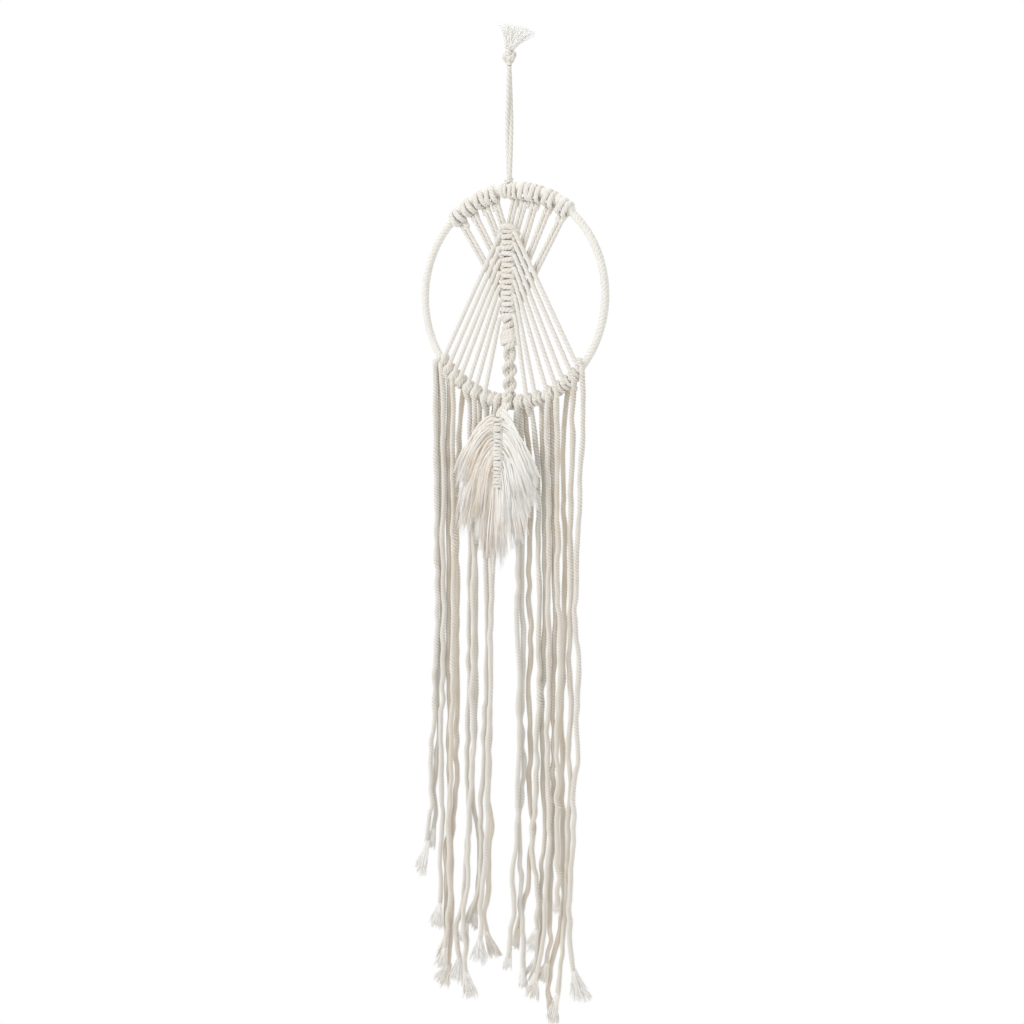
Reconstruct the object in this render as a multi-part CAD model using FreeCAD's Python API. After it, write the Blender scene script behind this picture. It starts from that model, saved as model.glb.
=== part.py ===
"""Macrame dream catcher: a cord-wrapped hoop with a knotted spine, two fans, a feather and a fringe.

Millimetres.  +Z is up, +X is to the right seen from the front, -Y is the front.
The origin is the point of the hanging loop that rests on the hook, just under its top knot.
"""
import FreeCAD, Part
import math
import os

Vector = FreeCAD.Vector

# ---------------------------------------------------------------- driving dimensions
hoop_radius = 80.0          # centreline of the steel ring
wire_radius = 1.5           # steel ring wire
wrap_radius = 3.0           # outside of the cord wound round the ring
hoop_shift = 2.0            # the hoop's centre lies this far right of the hanger
hanger_length = 92.0        # hook point down to the ring's centreline at the top
hanging_cord = 3.4          # diameters of the cords
taut_cord = 3.2
feather_cord = 3.0
fringe_cord = 4.0
knot_depth = 3.2            # how far a wound knot stands out from the wrap
seat_gap = 0.15             # between pieces that lie against each other and never move apart
joint_gap = 0.3             # between pieces that move past each other

top_knot_width = 11.0
top_knot_height = 11.0
tuft_top = 29.0             # height of the frayed ends above the hook point
tuft_reach = 13.0
tuft_lean = 7.0

spine_top_drop = 26.5       # ring centreline at the top down to the first square knot
square_knot_count = 8
square_knot_pitch = 8.4
square_knot_half_width = 7.2
square_knot_half_depth = 4.8
twist_knot_count = 7
twist_knot_pitch = 8.0
twist_knot_half_width = 6.3
twist_knot_half_depth = 4.4
twist_per_knot = 28.0       # degrees from one half knot to the next
fan_depth = -3.4            # the fans lie in front of the hoop's middle plane
warp_depth = 1.8            # the upper cords lie behind it

fringe_hinge_drop = 15.0    # ring centreline at the bottom down to where the fringe bends
fringe_layer = 4.4          # the fringe hangs in three layers this far apart
bend_radius = 8.4           # nothing fixed comes inside this radius of the fringe's bending line

feather_depth = -12.4       # middle of the feather
feather_shift = -1.5
feather_top_drop = 11.5     # ring centreline at the bottom down to the feather's first knot
feather_knot_count = 10
feather_knot_pitch = 5.35
feather_knot_half_width = 6.5
feather_knot_half_depth = 4.0
barb_thickness = 7.4

# Knots wound round the top of the ring: degrees clockwise from the top, seen from the front.
hanger_hitch_angle = -3.6
hanger_hitch_length = 5.0
centre_knot_angle = 1.7
# Each upper pair: ring angle, drop below the spine's top and place across it where it goes in.
upper_pairs = {
    "left": [(-38.2, 49.5, -8.8), (-29.0, 31.5, -8.8), (-20.0, 15.5, -8.8), (-12.6, 1.0, -6.6)],
    "right": [(9.1, 2.5, 6.6), (16.0, 24.5, 8.8), (25.2, 41.5, 8.8), (35.5, 57.5, 8.8)],
}
# Each fan strand, outermost first: ring angle from the bottom, drop below the spine's top.
fan_strands = {
    "left": [(51.5, 9.5), (46.0, 19.0), (40.5, 28.5), (35.5, 38.0), (29.0, 48.0), (23.3, 59.5), (16.5, 72.5)],
    "right": [(49.5, 8.0), (44.0, 16.5), (37.5, 25.5), (31.8, 35.0), (25.5, 45.0), (17.7, 55.5), (11.8, 70.5)],
}
fan_start = 8.8             # where the fan strands leave the side of the spine

# The fringe.  Each strand: layer (-1 front, 0 middle, 1 back), ring angle of its hitch from the
# bottom (positive to the right), then its route as (across from its hitch, down from the bend).
fringe_left = [
    (-1, -58.0, [(0, -12), (-1, 32), (1, 72), (-1, 110), (1, 148), (-2, 186), (-4, 228), (-4, 256),
                 (-10, 281), (-7, 309), (-9, 337), (-13, 362), (-18, 384)]),
    (0, -58.0, [(1, -14), (0, 27), (1, 66), (-1, 107), (1, 148), (-2, 191), (-4, 231), (-3, 256),
                (-5, 282), (-8, 309), (-7, 337), (-11, 362)]),
    (-1, -51.5, [(3, -12), (1, 26), (2, 64), (0, 104), (1, 147), (0, 192), (-1, 239), (-3, 282),
                 (-2, 318), (-3, 350), (-5, 374), (-4, 402), (-8, 428)]),
    (0, -46.0, [(0, -14), (-2, 17), (-1, 53), (-2, 95), (-1, 139), (-3, 180), (-2, 222), (-4, 262),
                (-3, 300), (-4, 331), (-6, 366), (-5, 396), (-8, 419), (-7, 440), (-12, 458)]),
    (-1, -40.5, [(1, -10), (0, 24), (1, 64), (0, 104), (1, 146), (-1, 187), (-2, 229), (-4, 272),
                 (-4, 303), (-6, 336), (-7, 367), (-6, 393), (-7, 420), (-9, 443), (-15, 465)]),
    (1, -35.5, [(-3, -11), (-5, 17), (-8, 49), (-7, 81), (-8, 114), (-7, 147), (-9, 189), (-8, 231),
                (-9, 274), (-10, 308), (-13, 340), (-16, 367), (-17, 391), (-14, 415), (-16, 441),
                (-17, 465), (-25, 485)]),
    (0, -29.0, [(0, -4), (1, 24), (-1, 60), (0, 100), (-1, 145), (-2, 186), (-1, 224), (-3, 262),
                (-4, 300), (-2, 330), (-5, 366), (-8, 398), (-15, 423), (-15, 441), (-12, 458),
                (-15, 475)]),
    (-1, -23.3, [(1, -5), (0, 27), (-1, 67), (0, 107), (-2, 145), (-1, 184), (-3, 226), (-2, 268),
                 (-5, 309), (-6, 341), (-9, 370), (-10, 398), (-12, 421), (-10, 442), (-11, 463),
                 (-7, 482)]),
    (1, -23.3, [(0, -2), (-1, 30), (-3, 68), (-5, 112), (-4, 153), (-6, 188), (-5, 222), (-7, 260),
                (-9, 297), (-8, 319), (-3, 338), (-2, 358), (-3, 384), (-6, 405), (-9, 425)]),
    (0, -16.5, [(0, -1), (-1, 31), (0, 70), (-1, 111), (0, 147), (1, 172), (-1, 203), (-2, 240),
                (-3, 280), (-6, 311), (-7, 341), (-6, 369), (-11, 395), (-19, 413), (-23, 426),
                (-25, 437)]),
    (1, -12.0, [(-4, 1), (-5, 35), (-4, 75), (-5, 111), (-4, 136), (-6, 160), (-5, 184), (-7, 216),
                (-6, 256), (-7, 285), (-9, 305), (-6, 322), (-3, 335), (-7, 352), (-8, 376),
                (-12, 408), (-11, 428), (-4, 445)]),
    (-1, -8.0, [(-2, 0), (-3, 30), (-2, 69), (-3, 109), (-5, 145), (-6, 176), (-5, 208), (-7, 240),
                (-8, 273), (-10, 303), (-9, 324), (-10, 347), (-12, 370), (-15, 395), (-16, 422),
                (-18, 448)]),
]
fringe_right = [
    (-1, 5.7, [(-2, 0), (0, 29), (2, 64), (0, 97), (1, 130), (-1, 163), (2, 197), (1, 232),
               (2, 269), (0, 306), (1, 338), (-4, 359), (-6, 375), (-1, 392), (-6, 412), (-7, 430),
               (-9, 447)]),
    (0, 5.7, [(0, 1), (2, 31), (3, 64), (2, 101), (1, 139), (4, 172), (2, 204), (1, 239), (3, 274),
              (1, 307), (-1, 335), (1, 362), (0, 390), (4, 419), (2, 441), (3, 462)]),
    (1, 5.7, [(3, 3), (6, 33), (7, 64), (6, 100), (5, 138), (8, 171), (5, 203), (6, 233), (7, 264),
              (6, 292), (7, 314), (11, 332), (5, 352), (6, 374), (2, 394), (-4, 413), (-7, 432)]),
    (0, 11.8, [(4, 5), (7, 34), (8, 64), (8, 98), (9, 138), (8, 178), (9, 210), (7, 243), (8, 276),
               (7, 300), (4, 321), (3, 341), (6, 357), (7, 377), (9, 397), (7, 413), (3, 428)]),
    (1, 17.7, [(0, -2), (1, 29), (3, 60), (3, 96), (4, 138), (3, 178), (1, 217), (1, 259), (2, 293),
               (4, 324), (2, 348), (1, 373), (0, 396), (1, 416), (-3, 437), (-9, 457)]),
    (-1, 25.5, [(-1, -3), (0, 27), (1, 58), (2, 93), (1, 136), (2, 175), (1, 215), (0, 254),
                (3, 292), (4, 325), (2, 353), (0, 376), (-1, 401), (-4, 427), (-10, 450), (-13, 466)]),
    (0, 25.5, [(1, -4), (2, 28), (3, 58), (4, 94), (5, 136), (4, 176), (3, 217), (4, 257), (3, 287),
               (4, 319), (2, 352), (1, 377), (2, 400), (1, 421), (-1, 438), (-6, 453)]),
    (-1, 31.8, [(0, -7), (1, 27), (0, 58), (2, 90), (1, 120), (4, 151), (5, 183), (2, 218),
                (1, 252), (3, 283), (2, 308), (3, 336), (5, 362), (2, 387)]),
    (1, 37.5, [(-5, -9), (-6, 28), (-5, 59), (-3, 94), (-4, 132), (-3, 168), (-6, 208), (-4, 250),
               (-6, 292), (-3, 328), (-4, 362), (-3, 387), (-6, 410), (-12, 435), (-17, 454),
               (-16, 471), (-12, 486)]),
    (0, 44.0, [(-3, -16), (-2, 14), (-3, 50), (-4, 88), (-2, 127), (-3, 158), (-4, 186), (-2, 216),
               (-3, 254), (-2, 291), (-4, 316), (-5, 341), (-3, 368), (-6, 395), (-7, 421),
               (-10, 447), (-14, 469), (-17, 484)]),
    (-1, 52.5, [(1, -20), (1, 7), (-1, 34), (-1, 62), (-3, 92), (-4, 128), (-5, 155), (-1, 180),
                (-3, 204), (-3, 228), (0, 255), (-5, 281), (-4, 312), (-6, 341), (-7, 371),
                (-8, 395), (-5, 426), (2, 455)]),
]

# Outline of each half of the feather: (across from its middle, down from its top), tip last.
barbs_left = [(-16, 3), (-31, 21), (-42, 45), (-39, 66), (-35, 90), (-24, 106), (-12, 118)]
barbs_right = [(18, 2), (31, 25), (39, 47), (31, 64), (25, 84), (14, 98), (8, 104)]

# ---------------------------------------------------------------- worked-out sizes and places
hoop_centre = Vector(hoop_shift, 0, -hanger_length - hoop_radius)
hoop_bottom = hoop_centre.z - hoop_radius
knot_radius = wrap_radius + knot_depth
spine_top = -hanger_length - spine_top_drop
square_end = spine_top - square_knot_count * square_knot_pitch
twist_end = square_end - twist_knot_count * twist_knot_pitch
fringe_bend = hoop_bottom - fringe_hinge_drop
stub_end = fringe_bend + bend_radius + joint_gap
layer_reach = fringe_layer + fringe_cord / 2
strand_start = fringe_bend + math.sqrt(bend_radius**2 - layer_reach**2) - joint_gap
feather_top = hoop_bottom - feather_top_drop
UP = Vector(0, 0, 1)
FRONT_AXIS = Vector(0, 1, 0)


def save(name, solids):
    """Write one node, from one solid or a list of separate solids."""
    shape = Part.makeCompound(solids) if isinstance(solids, list) else solids
    shape.exportStep(f"parts/{name}.step")
    print(f"{name:24s} solids {len(shape.Solids):2d}  volume {shape.Volume:10.1f}  valid {shape.isValid()}")


def rod(start, end, diameter):
    """A straight round cord from start to end."""
    along = end - start
    return Part.makeCylinder(diameter / 2, along.Length, start, along)


def ring_point(angle_from_top, radius=None):
    """A point of the ring's middle plane, clockwise from the top seen from the front."""
    a = math.radians(angle_from_top)
    r = hoop_radius if radius is None else radius
    return hoop_centre + Vector(r * math.sin(a), 0, r * math.cos(a))


def hoop_torus(radius):
    return Part.makeTorus(hoop_radius, radius, hoop_centre, FRONT_AXIS)


def collar(angle_from_top, length, outer, inner):
    """Cord wound round the ring: a length of tube bent to the ring's curve."""
    sweep = math.degrees(length / hoop_radius)
    start = ring_point(-sweep / 2)
    across = Vector(math.cos(math.radians(sweep / 2)), 0, math.sin(math.radians(sweep / 2)))
    face = Part.Face(Part.Wire(Part.makeCircle(outer, start, across)))
    band = face.revolve(hoop_centre, FRONT_AXIS, sweep)
    band.rotate(hoop_centre, FRONT_AXIS, angle_from_top)
    return band.cut(hoop_torus(inner)) if inner else band


def spaced_lengths(angles, longest):
    """How long each collar may be, so that neighbours stay apart."""
    lengths = []
    for angle in angles:
        others = [abs(angle - other) for other in angles if other != angle]
        room = math.radians(min(others)) * hoop_radius - 2 * seat_gap
        lengths.append(min(longest, room))
    return lengths


def stadium(half_width, half_depth, height, base, turn=0.0):
    """A prism with flat front and back and round sides, standing on base."""
    reach = half_width - half_depth
    a, b = Vector(-reach, -half_depth, 0), Vector(reach, -half_depth, 0)
    c, d = Vector(reach, half_depth, 0), Vector(-reach, half_depth, 0)
    edges = [
        Part.LineSegment(a, b).toShape(),
        Part.Arc(b, Vector(half_width, 0, 0), c).toShape(),
        Part.LineSegment(c, d).toShape(),
        Part.Arc(d, Vector(-half_width, 0, 0), a).toShape(),
    ]
    prism = Part.Face(Part.Wire(edges)).extrude(Vector(0, 0, height))
    prism.rotate(Vector(0, 0, 0), UP, turn)
    prism.translate(base)
    return prism


def rounded_route(points):
    """Straight runs joined by tangent arcs, each as large as its two runs allow."""
    edges, radii, start = [], [], points[0]
    for before, corner, after in zip(points, points[1:], points[2:]):
        back, ahead = before - corner, after - corner
        half_turn = (math.pi - back.getAngle(ahead)) / 2
        setback = 0.45 * min(back.Length, ahead.Length)
        radii.append(setback / math.tan(half_turn))
        back.normalize()
        ahead.normalize()
        first, last = corner + back * setback, corner + ahead * setback
        inward = (back + ahead).normalize()
        middle = corner + inward * (radii[-1] / math.cos(half_turn) - radii[-1])
        edges.append(Part.LineSegment(start, first).toShape())
        edges.append(Part.Arc(first, middle, last).toShape())
        start = last
    edges.append(Part.LineSegment(start, points[-1]).toShape())
    return Part.Wire(edges), min(radii, default=0.0)


def cord_tube(points, diameter, label):
    """A round cord along a route, with its length, tightest bend and volume printed."""
    wire, tightest = rounded_route(points)
    profile = Part.Wire(Part.makeCircle(diameter / 2, points[0], points[1] - points[0]))
    tube = wire.makePipeShell([profile], True, False)
    expected = math.pi * diameter**2 / 4 * wire.Length
    print(f"{label:24s} length {wire.Length:6.1f}  tightest {tightest:6.1f}"
          f"  volume/expected {tube.Volume / expected:.4f}")
    return tube


def slab(z_low, z_high):
    """Everything between two heights."""
    size = 4 * hoop_radius
    return Part.makeBox(size, size, z_high - z_low, Vector(-size / 2, -size / 2, z_low))


centre_pair_lean = ring_point(centre_knot_angle).x / spine_top_drop * (knot_radius + joint_gap)
centre_pair_left = ring_point(centre_knot_angle).x - centre_pair_lean - taut_cord - 0.05


def make_hanger():
    """Top knot, frayed ends, the two legs of the loop and the hitch that holds the ring."""
    r, h = top_knot_width / 2, top_knot_height
    outline = [
        Part.LineSegment(Vector(0, 0, 0), Vector(0.55 * r, 0, 0)).toShape(),
        Part.Arc(Vector(0.55 * r, 0, 0), Vector(r, 0, h / 2), Vector(0.6 * r, 0, h)).toShape(),
        Part.LineSegment(Vector(0.6 * r, 0, h), Vector(0, 0, h)).toShape(),
        Part.LineSegment(Vector(0, 0, h), Vector(0, 0, 0)).toShape(),
    ]
    knot = Part.Face(Part.Wire(outline)).revolve(Vector(0, 0, 0), UP, 360)
    save("hanging_knot", knot)

    foot = Part.Wire(Part.Ellipse(Vector(0, 0, h), 3.0, 2.6).toShape())
    waist = Part.Wire(Part.Ellipse(Vector(0.45 * tuft_lean, 0, (h + tuft_top) / 2), 6.0, 3.6).toShape())
    brush = Part.Wire(Part.Ellipse(Vector(tuft_lean, 0, tuft_top), tuft_reach, 5.0).toShape())
    save("hanging_tuft", Part.makeLoft([foot, waist, brush], True))

    leg_top, leg_foot = -2.0, -hanger_length + knot_radius + 1.3
    heights = [leg_top - i * (leg_top - leg_foot) / 4 for i in range(5)]
    spread = [1.9, 2.0, 2.35, 2.2, 1.85]
    turns = [121, 80, 31, -12, -45]
    for name, side in (("hanging_leg_left", 1), ("hanging_leg_right", -1)):
        route = []
        for z, s, turn in zip(heights, spread, turns):
            a = math.radians(turn)
            route.append(Vector(-side * s * math.cos(a), -side * s * math.sin(a), z))
        save(name, cord_tube(route, hanging_cord, name))

    hitch_x = ring_point(hanger_hitch_angle).x
    room = centre_pair_left - joint_gap - hitch_x
    hitch = collar(hanger_hitch_angle, min(hanger_hitch_length, 2 * room),
                   knot_radius + joint_gap, wrap_radius + joint_gap)
    neck = Part.makeCylinder(1.9, knot_radius, Vector(hitch_x + 1.6, 0, -hanger_length + 0.8), UP)
    body = hitch.fuse(neck.cut(hoop_torus(knot_radius - 0.5)))
    save("hanger_hitch", body.removeSplitter())


def make_hoop():
    """The steel ring, the cord wound round it and the knots along its top."""
    save("hoop_ring", hoop_torus(wire_radius))
    save("hoop_wrap", hoop_torus(wrap_radius).cut(hoop_torus(wire_radius + seat_gap / 3)))
    angles = [pair[0] for side in upper_pairs.values() for pair in side]
    angles += [centre_knot_angle]
    lengths = spaced_lengths(angles + [hanger_hitch_angle], 10.4)
    bands = [
        collar(angle, length, knot_radius, wrap_radius + seat_gap)
        for angle, length in zip(angles, lengths)
    ]
    save("larks_head_knots", bands)


def upper_pair(angle, start_z, across):
    """Two cords side by side from a knot on the ring to the spine, behind the fans."""
    top, foot = ring_point(angle), Vector(across, warp_depth, start_z)
    top.y = warp_depth
    along = (foot - top).normalize()
    beside = along.cross(FRONT_AXIS) * (taut_cord / 2 + 0.05)
    cords = [rod(top + beside * s, foot + beside * s, taut_cord) for s in (-1, 1)]
    return [cord.cut(hoop_torus(knot_radius + seat_gap)).cut(spine_envelope) for cord in cords]


def make_upper_cords():
    for side, pairs in upper_pairs.items():
        cords = []
        for angle, drop, across in pairs:
            beside_centre = math.copysign(2 * taut_cord + seat_gap, across)
            across = max(across, beside_centre, key=abs)
            cords += upper_pair(angle, spine_top - drop, across)
        save(f"warp_pairs_{side}", cords)
    half = taut_cord / 2 + 0.05
    top_x = ring_point(centre_knot_angle).x
    centre = []
    for s in (-1, 1):
        top = Vector(top_x + s * half, 0, -hanger_length)
        foot = Vector(s * half, 0, spine_top + 2 * seat_gap)
        centre.append(rod(top, foot, taut_cord).cut(hoop_torus(knot_radius + seat_gap)))
    save("warp_pair_centre", centre)


def sleeve(half_width, half_depth, height, base, turn, bore_cord):
    """One knot of a sennit: a block tied round two core cords."""
    block = stadium(half_width, half_depth, height, base, turn)
    bore = stadium(bore_cord + seat_gap, bore_cord / 2 + seat_gap, height + 2, base - UP)
    return block.cut(bore)


def make_spine():
    half = taut_cord / 2 + 0.05
    core_end = twist_end + 0.4
    core = [
        rod(Vector(s * half, 0, spine_top), Vector(s * half, 0, core_end), taut_cord)
        for s in (-1, 1)
    ]
    save("spine_core", core)
    bore_cord = taut_cord + 0.1
    squares = []
    for i in range(square_knot_count):
        base = Vector(0, 0, spine_top - (i + 1) * square_knot_pitch + seat_gap)
        squares.append(sleeve(square_knot_half_width, square_knot_half_depth,
                              square_knot_pitch - 2 * seat_gap, base, 0.0, bore_cord))
    save("spine_square_knots", squares)
    twists = []
    for i in range(twist_knot_count):
        base = Vector(0, 0, square_end - (i + 1) * twist_knot_pitch + seat_gap)
        twists.append(sleeve(twist_knot_half_width, twist_knot_half_depth,
                             twist_knot_pitch - 2 * seat_gap, base, (i + 1) * twist_per_knot, bore_cord))
    save("spine_twist_knots", twists)


def make_fans():
    """Seven taut cords each side, from the side of the spine to the lower half of the ring."""
    trim = hoop_torus(knot_radius + seat_gap)
    for side, sign in (("left", -1), ("right", 1)):
        lowest = 0.0
        for i, (angle, drop) in enumerate(fan_strands[side], 1):
            foot = ring_point(180 - sign * angle)
            slope = math.atan2(abs(foot.x - sign * fan_start), spine_top - drop - foot.z)
            drop = max(drop, lowest)
            lowest = drop + (taut_cord + seat_gap) / math.sin(slope)
            top = Vector(sign * fan_start, fan_depth, spine_top - drop)
            foot.y = fan_depth
            save(f"fan_strand_{side}_{i}", rod(top, foot, taut_cord).cut(trim).cut(spine_envelope))


def strand_route(layer, angle, points):
    hitch = ring_point(180 - angle)
    y = layer * fringe_layer
    route = [Vector(hitch.x, y, hitch.z)]
    return route + [Vector(hitch.x + dx, y, fringe_bend - drop) for dx, drop in points]


def make_fringe(side, strands, fan_angles):
    """The row of hitches along the lower ring with the roots of the cords, and the hanging cords."""
    hitch_angles = sorted({angle for _, angle, _ in strands} | set(fan_angles))
    lengths = spaced_lengths([180 - a for a in hitch_angles], 6.4)
    row = [collar(180 - a, length, knot_radius, 0) for a, length in zip(hitch_angles, lengths)]
    for i, (layer, angle, points) in enumerate(strands, 1):
        name = f"fringe_{side}_{i:02d}"
        tube = cord_tube(strand_route(layer, angle, points), fringe_cord, name)
        row.append(tube.common(slab(stub_end, 0)))
        save(name, tube.common(slab(hoop_bottom - 4 * hoop_radius - 400, strand_start)))
    bands = row[0].multiFuse(row[1:]).cut(hoop_torus(wrap_radius + seat_gap))
    save(f"hem_hitches_{side}", bands.removeSplitter())


def barb_half(outline, inner, side):
    """One side of the feather: brushed-out cord ends, as one closed shape."""
    y = feather_depth - barb_thickness / 2

    def place(dx, drop):
        return Vector(feather_shift + dx, y, feather_top - drop)

    foot = feather_knot_count * feather_knot_pitch + 1.0
    curve = Part.BSplineCurve()
    curve.interpolate([place(inner, 0.5)] + [place(*p) for p in outline])
    middle = side * 0.3
    inside = [place(*outline[-1]), place(middle, outline[-1][1] - 4), place(middle, foot),
              place(inner, foot), place(inner, 0.5)]
    edges = [curve.toShape()]
    edges += [Part.LineSegment(a, b).toShape() for a, b in zip(inside, inside[1:])]
    return Part.Face(Part.Wire(edges)).extrude(Vector(0, barb_thickness, 0))


def make_feather():
    """The feather: a short sennit with brushed-out barbs, hung in front of the fringe."""
    save("hem_hitch_centre", collar(181.0, 7.0, knot_radius, wrap_radius + seat_gap))

    half = feather_cord / 2 + 0.1
    shift = ring_point(180).x - 0.5
    cords = []
    for s in (-1, 1):
        top = Vector(shift + s * half, -knot_radius - 2.2, hoop_bottom - 2.5)
        foot = Vector(feather_shift + s * half, feather_depth + 0.4, feather_top + 2.3)
        cords.append(rod(top, foot, feather_cord))
    save("feather_hanger", cords)

    end = feather_top - feather_knot_count * feather_knot_pitch
    core = [
        rod(Vector(feather_shift + s * half, feather_depth, feather_top),
            Vector(feather_shift + s * half, feather_depth, end), feather_cord)
        for s in (-1, 1)
    ]
    save("feather_core", core)
    knots = []
    for i in range(feather_knot_count):
        base = Vector(feather_shift, feather_depth, feather_top - (i + 1) * feather_knot_pitch + seat_gap)
        knots.append(sleeve(feather_knot_half_width, feather_knot_half_depth,
                            feather_knot_pitch - 2 * seat_gap, base, 0.0, feather_cord + 0.2))
    save("feather_knots", knots)
    edge = feather_knot_half_width + seat_gap
    save("feather_barbs_left", barb_half(barbs_left, -edge, -1))
    save("feather_barbs_right", barb_half(barbs_right, edge, 1))


os.makedirs("parts", exist_ok=True)
spine_envelope = stadium(
    square_knot_half_width + seat_gap, square_knot_half_depth + seat_gap,
    square_knot_count * square_knot_pitch + 2 * seat_gap, Vector(0, 0, square_end - seat_gap))
make_hanger()
make_hoop()
make_upper_cords()
make_spine()
make_fans()
make_fringe("left", fringe_left, [-angle for angle, _ in fan_strands["left"]])
make_fringe("right", fringe_right, [angle for angle, _ in fan_strands["right"][1:]])
make_feather()
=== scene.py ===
"""Macrame dream catcher: its cords, knots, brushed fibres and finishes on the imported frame."""
import math

import bpy
import numpy as np
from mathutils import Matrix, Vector


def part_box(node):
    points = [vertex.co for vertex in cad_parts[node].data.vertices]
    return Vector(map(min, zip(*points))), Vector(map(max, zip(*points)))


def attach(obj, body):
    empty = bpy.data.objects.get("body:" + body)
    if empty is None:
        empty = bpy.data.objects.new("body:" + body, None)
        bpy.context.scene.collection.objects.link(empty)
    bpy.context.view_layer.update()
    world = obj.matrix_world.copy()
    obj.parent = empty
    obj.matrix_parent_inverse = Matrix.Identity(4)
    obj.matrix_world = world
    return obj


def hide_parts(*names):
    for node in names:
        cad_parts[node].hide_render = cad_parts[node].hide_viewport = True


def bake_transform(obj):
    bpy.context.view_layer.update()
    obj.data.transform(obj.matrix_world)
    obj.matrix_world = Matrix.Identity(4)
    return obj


bl_info = {
    "name": "Macrame Dream Catcher",
    "version": (1, 0, 0),
    "blender": (4, 5, 0),
    "location": "3D View > Sidebar > Dream Catcher",
    "description": "Builds a cord-wrapped hoop with knots, fans, a feather and a fringe",
    "category": "Add Mesh",
}

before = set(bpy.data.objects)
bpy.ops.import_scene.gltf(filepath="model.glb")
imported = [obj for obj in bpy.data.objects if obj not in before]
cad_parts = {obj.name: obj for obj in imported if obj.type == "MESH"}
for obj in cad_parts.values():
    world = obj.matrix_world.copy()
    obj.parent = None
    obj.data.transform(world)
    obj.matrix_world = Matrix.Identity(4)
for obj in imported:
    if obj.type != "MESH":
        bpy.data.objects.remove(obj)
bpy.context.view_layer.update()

# ------------------------------------------------------------------ sizes shared by the pieces
MM = 0.001
KNOT_STEP = 0.0004          # metres between the points of a knotted cord's line
HANGING_STEP = 0.0005       # of a hanging cord's line
TAUT_STEP = 0.0006          # and of a stretched cord's line
FRAY_WIDTH = 0.00052        # metres across a bundle of fibres in a frayed end
BRUSH_WIDTH = 0.00042       # and in the brushed ends above the top knot

RING_R = 80.0               # millimetres, as are the sizes below
RING_X = 2.0
RING_Z = -172.0
FRINGE_BEND = -267.0
FRINGE_LAYER = 4.4
SPINE_TOP = -118.5
SQUARE_END = -185.7
TWIST_END = -241.7
SQUARE_PITCH = 8.4
FEATHER_X = -1.5
FEATHER_Y = -12.4
FEATHER_TOP = -263.5
FEATHER_PITCH = 5.35

# Angles round the ring are in degrees, clockwise from its top unless a comment says from its bottom.
# Each upper pair: ring angle, drop of its foot below the top of the spine, foot's place across.
HITCH_ANGLE = -3.6
CENTRE_KNOT = 1.7
UPPER_PAIRS = {
    "left": [(-38.2, 49.5, -8.8), (-29.0, 31.5, -8.8), (-20.0, 15.5, -8.8), (-12.6, 1.0, -6.6)],
    "right": [(9.1, 2.5, 6.6), (16.0, 24.5, 8.8), (25.2, 41.5, 8.8), (35.5, 57.5, 8.8)],
}
# Each cord of a fan: ring angle to its own side of the bottom, drop of its start below the spine's top.
FAN_CORDS = {
    "left": [(51.5, 9.5), (46.0, 19.0), (40.5, 28.5), (35.5, 38.0), (29.0, 48.0), (23.3, 59.5),
             (16.5, 72.5)],
    "right": [(49.5, 8.0), (44.0, 16.5), (37.5, 25.5), (31.8, 35.0), (25.5, 45.0), (17.7, 55.5),
              (11.8, 70.5)],
}
SLIP_FROM = 51              # degrees from the bottom, past which hanging cords slip down the ring
TURNED_TO = 52              # and up to which their hitches have turns of their own

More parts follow.
